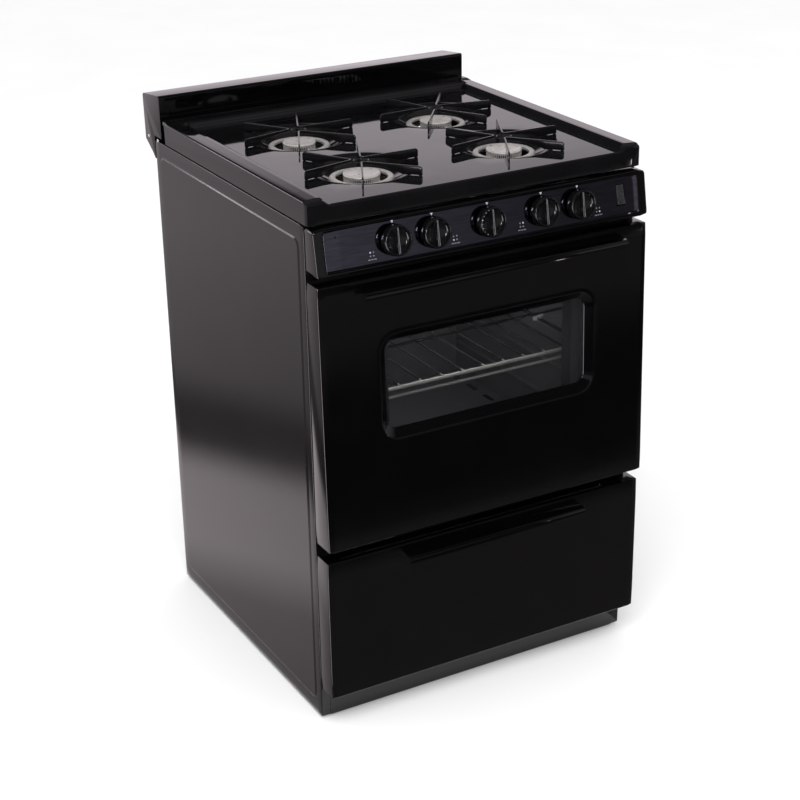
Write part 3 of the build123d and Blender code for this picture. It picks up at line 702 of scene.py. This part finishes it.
PANEL_LOW, PANEL_HIGH = low("control_panel"), high("control_panel")
PANEL_HALF = PANEL_HIGH.x / MM
PANEL_Z0 = PANEL_LOW.z / MM
PANEL_FOOT = depth_of(PANEL_LOW)
PANEL_SLOPE = 12.2 / 71.2
KNOB_Z = 829.5
KNOB_OUTER, KNOB_INNER = 168.5, 99.5
KNOB_X = {"rear_left": -KNOB_OUTER, "front_left": -KNOB_INNER, "thermostat": 0.0,
          "front_right": KNOB_OUTER, "rear_right": KNOB_INNER}
ROCKER_X = 251.0
HOLE_BANDS = [(x, 9, 6) for x in KNOB_X.values()] + [(ROCKER_X, 12, 8)]
LEAN = math.atan(PANEL_SLOPE)
OVERLAY_SIZE = (-285.5, 284.5, 797.0, 859.0)
OVERLAY_LIFT = -0.15


def panel_face(z):
    """Depth of the leaning panel face at a height."""
    return PANEL_FOOT + PANEL_SLOPE * (z - PANEL_Z0)


def on_panel(u, v, w):
    """Panel coordinates: across, height, and outwards along the face's normal."""
    return at(u, panel_face(v) - w * math.cos(LEAN), v + w * math.sin(LEAN))


def facing(x, up, out):
    """Like on_panel, with the second measure along the face, from knob height."""
    return on_panel(x, KNOB_Z + up * math.cos(LEAN), out)


def openings(level, depth):
    """Round holes behind the knobs and a slot for the rocker, in a sheet at this level."""
    rings = [(1.0, level), (0, level), (0, level - depth)]
    holes = [{"centre": (x, KNOB_Z), "patch": (9, 9), "size": (6, 6), "corner": 6, "rings": rings}
             for x in KNOB_X.values()]
    return holes + [{"centre": (ROCKER_X, 831), "patch": (12, 21), "size": (8.4, 17.4), "corner": 2,
                     "rings": rings}]


def control_panel():
    """Leaning sheet, sunk where the overlay lies."""
    x0, x1, z0, z1 = OVERLAY_SIZE
    edge, room, sunk = 3.0, 1.4, 1.2

    def height(u, v):
        outside = rounded_distance(u, v, x0 - room, x1 + room, z0 - room, z1 + room, 6)
        return -sunk * smooth(-outside / 1.6)

    us = grid(-PANEL_HALF + edge, PANEL_HALF - edge, HOLE_BANDS + [(x0 - 1, 4, 16), (x1 + 1, 4, 16)], 20)
    vs = steps([PANEL_Z0 + edge, z0 - 2, z0 + 2, 810, KNOB_Z - 9, KNOB_Z + 9, 852, z1 - 2, z1 + 2],
               [2, 8, 3, 3, 6, 4, 2, 8])
    obj = sheet_piece("control_panel", us, vs, height, 4.0,
                      quarter(edge, lambda u, v: panel_face(v) + 0.6, 5),
                      lambda u, v, w: at(u, panel_face(v) - w, v),
                      holes=openings(-sunk, 1.4))
    give(obj, "chassis", BLACK, "porcelain_black", "control_panel")


def panel_overlay():
    """Thin film in the panel's sunk field."""
    x0, x1, z0, z1 = OVERLAY_SIZE
    edge = 0.5
    us = grid(x0 + edge, x1 - edge, HOLE_BANDS, 30)
    vs = steps([z0 + edge, 810, KNOB_Z - 9, KNOB_Z + 9, 852, z1 - edge], [3, 3, 6, 4, 2])
    obj = sheet_piece("panel_overlay", us, vs, lambda u, v: OVERLAY_LIFT, 3.0,
                      quarter(edge, lambda u, v: -0.95, 0, 3), on_panel,
                      holes=openings(OVERLAY_LIFT, 0.7), thickness=0.35)
    give(obj, "chassis", OVERLAY, "overlay_gloss", "panel_overlay")


control_panel()
panel_overlay()


def printed(x, up, outline):
    """A thin printed shape on the overlay, from an outline in millimetres about its own middle."""
    return extruded("mark", outline, lambda a, b, c: facing(x + a, up + b, OVERLAY_LIFT + c), -0.1, 0.08)


def dot(radius, count=16):
    return [(radius * math.cos(2 * math.pi * k / count), radius * math.sin(2 * math.pi * k / count))
            for k in range(count)]


def bar(width, height):
    return [(-width / 2, -height / 2), (width / 2, -height / 2), (width / 2, height / 2),
            (-width / 2, height / 2)]


# place of each burner plan, and the side and row of its lit burner
ICONS = {-207.6: (-1, 1), -61.5: (-1, -1), 60.0: (1, 1), 206.0: (1, -1)}


def panel_marks():
    """Pointer above each knob, and a plan of the four burners with one lit, over a row of bars."""
    bright, dim = [], []
    for x in KNOB_X.values():
        bright.append(printed(x, 27.5, [(-2.4, 2.0), (0, -2.1), (2.4, 2.0)]))
    for x, lit in ICONS.items():
        for side in (-1, 1):
            for row in (-1, 1):
                shape = printed(x + side * 2.8, -15.7 + row * 2.8, dot(1.3))
                (bright if (side, row) == lit else dim).append(shape)
        for k, width in enumerate((4.2, 3.2, 4.6)):
            dim.append(printed(x - 5.1 + k * 5.0, -23.9, bar(width, 1.7)))
    for name, parts, mat in (("panel_marks_bright", bright, MARK_WHITE), ("panel_marks_dim", dim, MARK_DIM)):
        give(joined(name, parts), "chassis", mat, "overlay_gloss")


def panel_screw():
    x, up, sunk = -266, 19.8, OVERLAY_LIFT - 0.1
    profile = [(0, 0.0), (1.7, 0.0), (1.7, 0.5), (1.2, 0.9), (0, 1.0)]
    obj = lathe("panel_screw", profile, lambda a, b, c: facing(x + a, up + b, sunk + c), 24)
    give(finish_mesh(obj), "chassis", KNOB_BLACK, "overlay_gloss")


panel_marks()
panel_screw()


def light_rocker():
    """Rocker cap with a dished face, its upper end pressed in."""
    tilt, pivot = math.radians(6.0), 3.8
    face = [(16.0 - 2 * k, 6.3 - 1.7 * (1 - (abs(8 - k) / 8) ** 2)) for k in range(17)]
    outline = face + [(-16, -0.6), (-3, -5.1), (3, -5.1), (16, -0.6)]

    def place(a, b, c):
        up = a * math.cos(tilt) + b * math.sin(tilt)
        out = b * math.cos(tilt) - a * math.sin(tilt)
        return facing(ROCKER_X + c, 1.5 + up, out - pivot)

    obj = extruded("light_rocker", outline, place, -6.9, 6.9, 0.0007, 3)
    give(obj, "light_rocker", ROCKER, "rocker_plastic", "light_rocker")


light_rocker()


# ---- knobs ----

# radius and height round a knob's dished section, above the panel's face
KNOB_PROFILE = [(3.6, 3.4), (23.2, 3.4), (24.2, 4.0), (24.5, 5.2), (24.25, 11.0), (23.8, 15.6), (23.2, 17.3),
                (22.3, 18.2), (21.4, 18.45), (20.7, 18.3), (20.2, 17.6), (19.5, 15.4), (18.2, 13.2),
                (16.0, 11.5), (12.5, 10.5), (8.0, 10.1), (3.6, 10.0)]
CREST = 18.2


def grip_bar(place):
    """Tapered ridge across a knob's bowl, narrow at its pointing end, grooved under for the stem."""
    half, count = 20.6, 12
    sections = []
    for k in range(count + 1):
        along = half - 2 * half * k / count
        top = 1.0 + 1.5 * k / count
        flank = [(3.1, 12.7), (3.1, 9.4), (5.4, 9.4), (4.2, 10.6), (3.2 + top * 0.2, 13.0),
                 (top + 0.5, 16.4), (top, CREST - 0.35), (top - 0.4, CREST)]
        sections.append([(a, along, c) for a, c in flank] + [(-a, along, c) for a, c in flank[::-1]])
    n = len(sections[0])
    points = [place(*p) for section in sections for p in section]
    faces = [list(range(n)), [count * n + i for i in range(n)][::-1]]
    for k in range(count):
        for i in range(n):
            m = (i + 1) % n
            faces.append([k * n + i, k * n + m, (k + 1) * n + m, (k + 1) * n + i])
    return fix_normals(new_object("bar", points, faces))


def knob_scale(place):
    """Row of plain ticks on the rim, long and short in turn."""
    first, apart, rim, half = 112, 17, 21.6, 0.3
    ticks = []
    for k in range(8):
        turn = math.radians(first + apart * k)
        cos, sin = math.cos(turn), math.sin(turn)
        reach = (1.5 if k % 2 else 0.9) / 2
        corners = [(r * cos - s * sin, r * sin + s * cos)
                   for r, s in ((rim - reach, -half), (rim + reach, -half), (rim + reach, half),
                                (rim - reach, half))]
        ticks.append(extruded("tick", corners, place, CREST - 0.2, CREST + 0.35))
    return joined("knob_scale_thermostat", ticks)


def knob(name, x):
    """Dished knob with a ridge across its bowl and a pointer line on the ridge."""
    body = f"knob_{name}"

    def place(a, b, c):
        return facing(x + a, b, c)

    obj = joined(body, [lathe("bowl", KNOB_PROFILE, place, 96, closed=True), grip_bar(place)])
    give(finish_mesh(obj, smooth_angle=40), body, KNOB_BLACK, "knob_plastic", body)
    line = [(-0.3, -19.4), (0.55, -19.4), (0.35, 19.4), (-0.3, 19.4)]
    pointer = extruded(f"knob_line_{name}", line, place, CREST - 0.15, CREST + 0.06)
    give(pointer, body, MARK_DIM, "knob_plastic")
    if name == "thermostat":
        give(knob_scale(place), body, MARK_WHITE, "knob_plastic")


for name, x in KNOB_X.items():
    knob(name, x)


# ---- cooktop ----

TOP_LOW, TOP_HIGH = low("cooktop"), high("cooktop")
TOP_HALF = TOP_HIGH.x / MM
TOP_FRONT, TOP_BACK = depth_of(TOP_LOW), depth_of(TOP_HIGH)
APRON_FOOT = TOP_LOW.z / MM
WELL = 895.0
BURNER_X, FRONT_ROW, REAR_ROW = 133, 131, 352
BURNERS = {"front_left": (-BURNER_X, FRONT_ROW), "front_right": (BURNER_X, FRONT_ROW),
           "rear_left": (-BURNER_X, REAR_ROW), "rear_right": (BURNER_X, REAR_ROW)}
DISH_PATCH = 96
DISH_HOLE = 41.0
# radius and height of a dish, from the well down to its hole
DISH = [(94, 895), (90, 894.9), (86, 894.5), (82, 893.8), (78, 892.6), (74, 890.8), (70, 888.4), (62, 883.5),
        (55, 880.5), (52, 879.3), (49.5, 878.8), (47, 878.5), (42.6, 878.5), (41.4, 878.2), (41, 877.4),
        (41, 875.4)]


def cooktop_height(u, v):
    """Well, side beads that sink towards the front, and a riser with a long rib at the back."""
    bead_start, bead_crest, rib_end, riser_start, rib_line = 262, 281, 284, 466, 500
    crown = 10 * smooth((abs(u) - bead_start) / 14) - 0.065 * max(0.0, abs(u) - bead_crest)
    bead = crown * (0.7 + 0.3 * smooth((v - TOP_FRONT - 5) / 7))
    rise = 11 * smooth((v - riser_start) / 60)
    rib = 4.0 * smooth((12 - abs(v - rib_line)) / 8) * smooth((rib_end - abs(u)) / 8)
    return WELL + max(bead, rise) + rib


def cooktop():
    """One pressed sheet with four dishes; its apron is deep at the front and sides, short at the back."""
    edge, bead, back_start, back_drop = 3.5, 272, 526, 6.5
    rings = [(r - DISH_HOLE, z) for r, z in DISH]
    holes = [{"centre": spot, "patch": (DISH_PATCH, DISH_PATCH), "size": (DISH_HOLE, DISH_HOLE),
              "corner": DISH_HOLE, "rings": rings} for spot in BURNERS.values()]
    columns = [(side * BURNER_X, DISH_PATCH, 32) for side in (-1, 1)]
    rows = [(row, DISH_PATCH, 32) for row in (FRONT_ROW, REAR_ROW)]
    us = grid(-TOP_HALF + edge, TOP_HALF - edge, columns + [(-bead, 12, 24), (bead, 12, 24)], 12)
    vs = grid(TOP_FRONT + edge, TOP_BACK - edge, rows + [(2, 11, 18), (497, 32, 40)], 14)

    def rim(u, v, w):
        foot = APRON_FOOT if v < back_start else w - back_drop
        return quarter(edge, lambda a, b: foot, 0)(u, v, w)

    obj = sheet_piece("cooktop", us, vs, cooktop_height, 3.0, rim, at, holes=holes)
    give(obj, "cooktop", TOP_BLACK, "porcelain_black", "cooktop")


cooktop()


# ---- burners ----

CAP_RADIUS = {name: high(f"burner_cap_{name}").x / MM - x for name, (x, _) in BURNERS.items()}
TEETH = 52


def about(x, depth):
    """Places measured from a burner's axis."""
    return lambda a, b, c: at(x + a, depth + b, c)


def burner_head(name, x, depth):
    """Toothed head; the two rings a hair wider than the rest are the ones that the ports cut."""
    r = CAP_RADIUS[name] - 0.8
    toothed, port_depth = r + 0.001, 4.6
    profile = [(0, 848), (22, 848), (22, 868), (r - 1, 873.6), (r, 874.4), (r, 876.0), (toothed, 876.2),
               (toothed, 883.0), (r, 883.2), (r, 884.2), (r - 6, 884.2), (r - 6, 875), (16, 869),
               (16, 852), (0, 852)]

    def notch(k, radius):
        return radius - port_depth if radius > r and k % 4 < 2 else radius

    return lathe(f"head_{name}", profile, about(x, depth), TEETH * 4, notch=notch)


def burner_cap(name, x, depth):
    """Low disc with a rolled rim round a shallow dish."""
    r = CAP_RADIUS[name]
    profile = [(0, 881.8), (r - 8.5, 881.8), (r - 8.5, 884.75), (r - 1.0, 884.75), (r - 0.2, 885.1),
               (r, 885.8), (r - 0.1, 886.9), (r - 0.8, 887.9), (r - 1.9, 888.4), (r - 3.2, 888.45),
               (r - 4.4, 888.1), (r - 6.0, 887.5), (r - 10.0, 887.1), (7.0, 887.0), (0, 887.0)]
    obj = lathe(f"burner_cap_{name}", profile, about(x, depth), 96)
    give(finish_mesh(obj), f"burner_cap_{name}", CAP, "cast_aluminium", f"burner_cap_{name}")


def burner_heads():
    heads = [burner_head(name, *spot) for name, spot in BURNERS.items()]
    obj = finish_mesh(joined("burner_heads", heads), smooth_angle=30)
    give(obj, "chassis", CAST, "cast_aluminium", "burner_heads")


def burner_port_shades():
    """Dark wall inside each head, painted shade that shows dark through the flame ports."""
    port_shades = []
    for name, spot in BURNERS.items():
        # painted shade: a dark ring set behind the ports, where the inside of the head is only in shade
        r = CAP_RADIUS[name] - 3.0
        wall = [(r - 2.2, 876.4), (r, 876.4), (r, 882.8), (r - 2.2, 882.8)]
        port_shades.append(lathe("port_shade", wall, about(*spot), 96, closed=True))
    give(finish_mesh(joined("burner_port_shades", port_shades)), "chassis", ROCKER, "bare_steel")


def burner_rings():
    """Bare metal ring on the floor of each dish, round the burner head."""
    profile = [(41.7, 878.6), (51.8, 879.3), (51.6, 881.0), (50.6, 882.2), (49.0, 882.7), (43.6, 882.9),
               (42.4, 882.5), (41.7, 881.6)]
    rings = [lathe("ring", profile, about(*spot), 96, closed=True) for spot in BURNERS.values()]
    give(finish_mesh(joined("burner_rings", rings)), "cooktop", CAST, "cast_aluminium")


burner_heads()
burner_port_shades()
burner_rings()
for name, (x, depth) in BURNERS.items():
    burner_cap(name, x, depth)


# ---- grates ----

GRATE_REACH = 107.0
GRATE_TOP = high("grate_front_left").z / MM
# each strip of a grate: the angles of its two tips, in degrees, and the place of its apex
GRATE_ARMS = ((121, 185, (-12.5, 6.5)), (241, 302, (-5.5, -10.0)), (2, 63, (4.5, 10.5)))
# how far each grate is turned on its well, in degrees
GRATE_TURN = {"front_left": 2, "front_right": 1, "rear_left": 3, "rear_right": -8}
GRATE_FOOT = 895.15
ARCH_END, FOOT_END, TIP_START = 74.0, 88.0, 102.0
STRIP_CUTS = (0.15, 0.5, 1, 1.6, 2.4, 5.0, 6.2, 18.3, 18.9, 33.2)    # from a tip, where its edges turn


def sheet_top(reach):
    """Top edge of a grate strip at a distance from the grate's middle, rounded off at its tip."""
    corner = 5.0
    tip = min(max(0.0, corner - (GRATE_REACH - reach)), corner - 0.001)
    return GRATE_TOP - corner + math.sqrt(corner * corner - tip * tip)


def sheet_foot(reach):
    """Bottom edge: an arch over the burner, a foot on the well, a shallow gap, and a tip on the well."""
    corner = 2.0
    if reach > FOOT_END:
        curl = min(max(0.0, corner - (GRATE_REACH - reach)), corner - 0.001)
        gap = 0.9 * smooth((reach - FOOT_END) / 1.5) * smooth((TIP_START - reach) / 1.5)
        return GRATE_FOOT + gap + corner - math.sqrt(corner * corner - curl * curl)
    if reach > ARCH_END:
        return GRATE_FOOT
    t = min((ARCH_END - reach) / 58.0, 1.0)
    return GRATE_FOOT + 9.6 * (1 - (1 - t) ** 2.6)


def vee(first, last, apex):
    """One bent strip: in from one tip, round its apex near the middle, and out to the other tip."""
    tips = [(GRATE_REACH * math.cos(a), GRATE_REACH * math.sin(a)) for a in map(math.radians, (first, last))]
    path = smooth_path([tips[0], apex, tips[1]], (0, 6.0, 0), 10)
    fine = []
    for a, b in zip(path, path[1:]):
        run = math.hypot(b[0] - a[0], b[1] - a[1])
        n = max(1, round(run / 2.0))
        cuts = {i / n for i in range(n)}
        if a == path[0]:
            cuts |= {d / run for d in STRIP_CUTS}
        if b == path[-1]:
            cuts |= {1 - d / run for d in STRIP_CUTS}
        fine += [(a[0] + (b[0] - a[0]) * t, a[1] + (b[1] - a[1]) * t) for t in sorted(cuts)]
    return fine + [path[-1]]


def grate_sheet(first, last, apex, place):
    """Strip standing on edge along its path."""
    path = vee(first, last, apex)
    thick = 1.3
    points, faces = [], []
    for (x, y), (nx, ny) in zip(path, path_normals(path)):
        reach = math.hypot(x, y)
        top, foot = sheet_top(reach), sheet_foot(reach)
        for side, z in ((-1, foot), (1, foot), (1, top), (-1, top)):
            points.append(place(x + side * thick * nx, y + side * thick * ny, z))
    for k in range(len(path) - 1):
        for i in range(4):
            m = (i + 1) % 4
            faces.append([4 * k + i, 4 * k + m, 4 * k + 4 + m, 4 * k + 4 + i])
    n = 4 * (len(path) - 1)
    faces += [[3, 2, 1, 0], [n, n + 1, n + 2, n + 3]]
    return finish_mesh(fix_normals(new_object("sheet", points, faces)), bevel=0.0005, segments=2)


def hub_ring(place):
    """Small wire ring that ties the three strips at their apexes."""
    wire, radius, z = 1.1, 11.8, GRATE_TOP - 2.4
    return lathe("ring", [(radius + a, z + b) for a, b in dot(wire, 12)], place, 96, closed=True)


def grate(name, x, depth):
    turn = math.radians(GRATE_TURN[name])
    cos, sin = math.cos(turn), math.sin(turn)

    def place(a, b, c):
        return at(x + a * cos - b * sin, depth + a * sin + b * cos, c)

    parts = [grate_sheet(*arm, place) for arm in GRATE_ARMS] + [hub_ring(place)]
    obj = finish_mesh(joined(f"grate_{name}", parts))
    give(obj, f"grate_{name}", GRATE_BLACK, "grate_enamel", f"grate_{name}")


for name, (x, depth) in BURNERS.items():
    grate(name, x, depth)


# ---- backguard ----

# depth and height round the backguard's section
GUARD = [(544.4, 872.0), (544.4, 947.0), (618.0, 939.0), (616.0, 858.6), (586.0, 839.5), (575.2, 829.6),
         (575.2, 872.0)]


def backguard():
    """Bent guard along the back, with a row of narrow slots in its front."""
    outline = rounded_corners(GUARD, (0.6, 4.0, 5.0, 4.0, 3.0, 1.0, 0.6), 6)
    obj = extruded("backguard", outline, lambda a, b, c: at(c, a, b), -TOP_HALF, TOP_HALF, 0.0014, 3)
    count, first, pitch, half, z0, z1 = 33, -132, 8, 1.3, 918, 936
    slots = []
    for k in range(count):
        x = first + pitch * k
        slot = rounded_corners([(x - half, z0), (x + half, z0), (x + half, z1), (x - half, z1)], 1.2, 3)
        slots.append(extruded("slot", slot, lambda a, b, c: at(a, c, b), 540, 556))
    cutter = fix_normals(joined("slots", slots))
    cut = obj.modifiers.new("slots", "BOOLEAN")
    cut.operation = "DIFFERENCE"
    cut.solver = "EXACT"
    cut.object = cutter
    finish_mesh(obj)
    bpy.data.objects.remove(cutter)
    give(obj, "chassis", BLACK, "porcelain_black", "backguard")


def guard_screws():
    """Two pan head screws low on each end of the backguard."""
    z = 866
    profile = [(0, -0.4), (3.0, -0.4), (3.0, 0.3), (2.4, 0.9), (1.2, 1.2), (0, 1.25)]
    heads = [lathe("head", profile, lambda a, b, c: at(side * (TOP_HALF + c), depth + a, z + b), 20)
             for side in (-1, 1) for depth in (560.0, 600.0)]
    give(finish_mesh(joined("guard_screws", heads)), "chassis", CHROME, "bare_steel")


backguard()
guard_screws()


# ---- floor, light and camera ----

def stage_plane(name, corners, mat):
    obj = new_object(name, corners, [list(range(len(corners)))])
    obj.data.materials.append(mat)
    return obj


def level(x0, x1, y0, y1, z):
    return [(x0, y0, z), (x1, y0, z), (x1, y1, z), (x0, y1, z)]


def wall_across(y, x0, x1, z0, z1):
    return [(x0, y, z0), (x1, y, z0), (x1, y, z1), (x0, y, z1)]


def wall_along(x, y0, y1, z0, z1):
    return [(x, y0, z0), (x, y1, z0), (x, y1, z1), (x, y0, z1)]


def floor():
    mat, tree, shader = nodes_of("floor_paint", (0.9, 0.9, 0.9), 0.9, specular=0.1)
    two_tone(tree, shader, noise(tree, 3, 2.0), (0.94, 0.94, 0.945), (0.955, 0.955, 0.955))
    size = 12
    stage_plane("floor", level(-size, size, -size, size, 0), mat)


def glow(name, direction, stops, color):
    """Emission that changes along one direction; stops are (distance in metres, strength)."""
    mat = bpy.data.materials.new(name)
    mat.use_nodes = True
    tree = mat.node_tree
    tree.nodes.clear()
    distance = tree.nodes.new("ShaderNodeVectorMath")
    distance.operation = "DOT_PRODUCT"
    distance.inputs[1].default_value = Vector(direction).normalized()
    tree.links.new(own_space(tree), distance.inputs[0])
    first, last, peak = stops[0][0], stops[-1][0], max(strength for _, strength in stops)
    scaled = ranged(tree, distance.outputs["Value"], 0, 1, first, last)
    shades = [((s - first) / (last - first), tuple(c * strength / peak for c in color))
              for s, strength in stops]
    emission = fill(tree.nodes.new("ShaderNodeEmission"), {"Strength": peak})
    tree.links.new(ramp(tree, scaled, shades), emission.inputs["Color"])
    output = tree.nodes.new("ShaderNodeOutputMaterial")
    tree.links.new(emission.outputs["Emission"], output.inputs["Surface"])
    return mat


def flat_card(name, corners, stops, direction=(0, 0, 1), color=(1.0, 0.91, 0.97)):
    """A studio flat seen only in the enamel's reflections."""
    obj = stage_plane(name, corners, glow(name, direction, stops, color))
    obj.visible_camera = False
    obj.visible_diffuse = False
    obj.visible_transmission = False
    obj.visible_shadow = False


def even(strength):
    return [(0, strength), (1, strength)]


def floor_flats(far, back):
    """The floor as the enamel sees it: lit at the left and behind, dark in front."""
    half, front, rear, z = 0.3055, -0.352, 0.36, 0.004
    flat_card("flat_floor_left", level(-far, -half, front, back, z),
              [(0.2, 0.38), (0.4, 0.5), (0.54, 0.97), (0.8, 0.97), (0.92, 0.10), (1.08, 0.10), (1.24, 0.34),
               (2.2, 0.56), (4.0, 0.6)], (-0.871, 0.491, 0), (1.0, 0.9, 0.93))
    flat_card("flat_floor_front", level(-far, far, -far, front, z),
              [(0.3, 0.13), (0.8, 0.13), (1.1, 0.02), (1.7, 0.02), (2.1, 0.12), (2.85, 0.14), (3.05, 0.03),
               (7, 0.03)], (0, -1, 0))
    flat_card("flat_floor_right", level(half, far, front, back, z), [(0.3, 0.35), (1.2, 0.6), (3.0, 0.4)],
              (1, 0, 0))
    flat_card("flat_floor_back", level(-half, half, rear, back, z), [(0.3, 0.3), (1.2, 0.6), (3.0, 0.4)],
              (0, 1, 0))


def wall_flats(far, back, tall):
    """Walls and ceiling: pale behind the range, dark in front of it and above."""
    split = 2.5
    flat_card("flat_back", wall_across(back, -far, far, 0, tall),
              [(0.0, 0.6), (0.9, 0.86), (1.85, 1.02), (2.08, 0.95), (2.28, 0.66), (2.55, 0.05), (6.0, 0.05)])
    flat_card("flat_left", wall_along(-far, -far, back, 0, tall), [(0.0, 0.6), (2.5, 0.4), (6.0, 0.1)])
    flat_card("flat_right", wall_along(far, -far, back, 0, tall), [(0.0, 0.4), (2.5, 0.4), (6.0, 0.1)])
    flat_card("flat_front_high", wall_across(-far, -far, far, split, tall), even(0.03))
    flat_card("flat_front", wall_across(-far, -far, far, 0, split),
              [(-7.0, 0.3), (2.6, 0.3), (4.5, 0.08), (7.0, 0.08)], (1, 0, 0), (1, 0.98, 1.05))
    flat_card("flat_ceiling", level(-far, far, -far, back, tall),
              [(-7.0, 0.04), (-2.0, 0.04), (0.0, 0.3), (3.5, 0.12)], (0, 1, 0))


def bright_flats():
    """Narrow bright flats that draw the long highlights on the left edges and the glints on the knobs."""
    flat_card("flat_strip", [(-0.33, -0.37, 0.006), (-5.4, -4.9, 0.006), (-6.87, -1.3, 0.006)], even(6.0))
    flat_card("flat_strip_left", wall_along(-6.9, -6.5, -1.0, 0, 0.8), even(6.0))
    flat_card("flat_strip_back", wall_across(3.4, -3.4, -1.9, 1.2, 1.6), even(6.0))
    flat_card("flat_softbox", wall_across(-2.27, 1.775, 1.9, 0.2, 0.3), even(12.0))


floor()
floor_flats(7.0, 3.5)
wall_flats(7.0, 3.5, 6.0)
bright_flats()

world = bpy.data.worlds.new("studio")
bpy.context.scene.world = world
world.use_nodes = True
world.node_tree.nodes["Background"].inputs["Color"].default_value = (1, 1, 1, 1)
world.node_tree.nodes["Background"].inputs["Strength"].default_value = 1.0


def area(name, place, target, size, power, color=(1, 1, 1), glossy=False):
    data = bpy.data.lights.new(name, "AREA")
    data.shape = "RECTANGLE"
    data.size, data.size_y = size
    data.energy = power
    data.color = color
    lamp = bpy.data.objects.new(name, data)
    bpy.context.scene.collection.objects.link(lamp)
    lamp.location = place
    lamp.rotation_euler = (Vector(target) - Vector(place)).to_track_quat("-Z", "Y").to_euler()
    lamp.visible_camera = False
    lamp.visible_glossy = glossy


area("key", (-1.2, -2.0, 3.2), (0, 0, 0.5), (2.0, 2.0), 60)
area("strip", (-1.55, -2.75, 1.7), (0, -0.3, 0.6), (0.15, 0.6), 25, glossy=True)
area("oven_light", at(-40, 45, 695), at(-40, 400, 600), (0.24, 0.04), 3.6)


def camera():
    """Long lens from the front left, above the cooktop, turned by a slight roll."""
    data = bpy.data.cameras.new("camera")
    data.angle = math.radians(25.231)
    data.clip_end = 50
    obj = bpy.data.objects.new("camera", data)
    bpy.context.scene.collection.objects.link(obj)
    azimuth, elevation, roll = (math.radians(a) for a in (29.06, 23.52, -1.0))
    forward = Vector((math.sin(azimuth) * math.cos(elevation), math.cos(azimuth) * math.cos(elevation),
                      -math.sin(elevation)))
    right = Vector((math.cos(azimuth), -math.sin(azimuth), 0))
    up = right.cross(forward)
    side = right * math.cos(roll) + up * math.sin(roll)
    top = up * math.cos(roll) - right * math.sin(roll)
    place = at(-1412.39, -2283.56, 1683.99)
    turn = Matrix([side, top, -forward]).transposed()
    obj.matrix_world = Matrix.Translation(place) @ turn.to_4x4()
    bpy.context.scene.camera = obj


camera()
bpy.context.scene.view_settings.view_transform = "Standard"
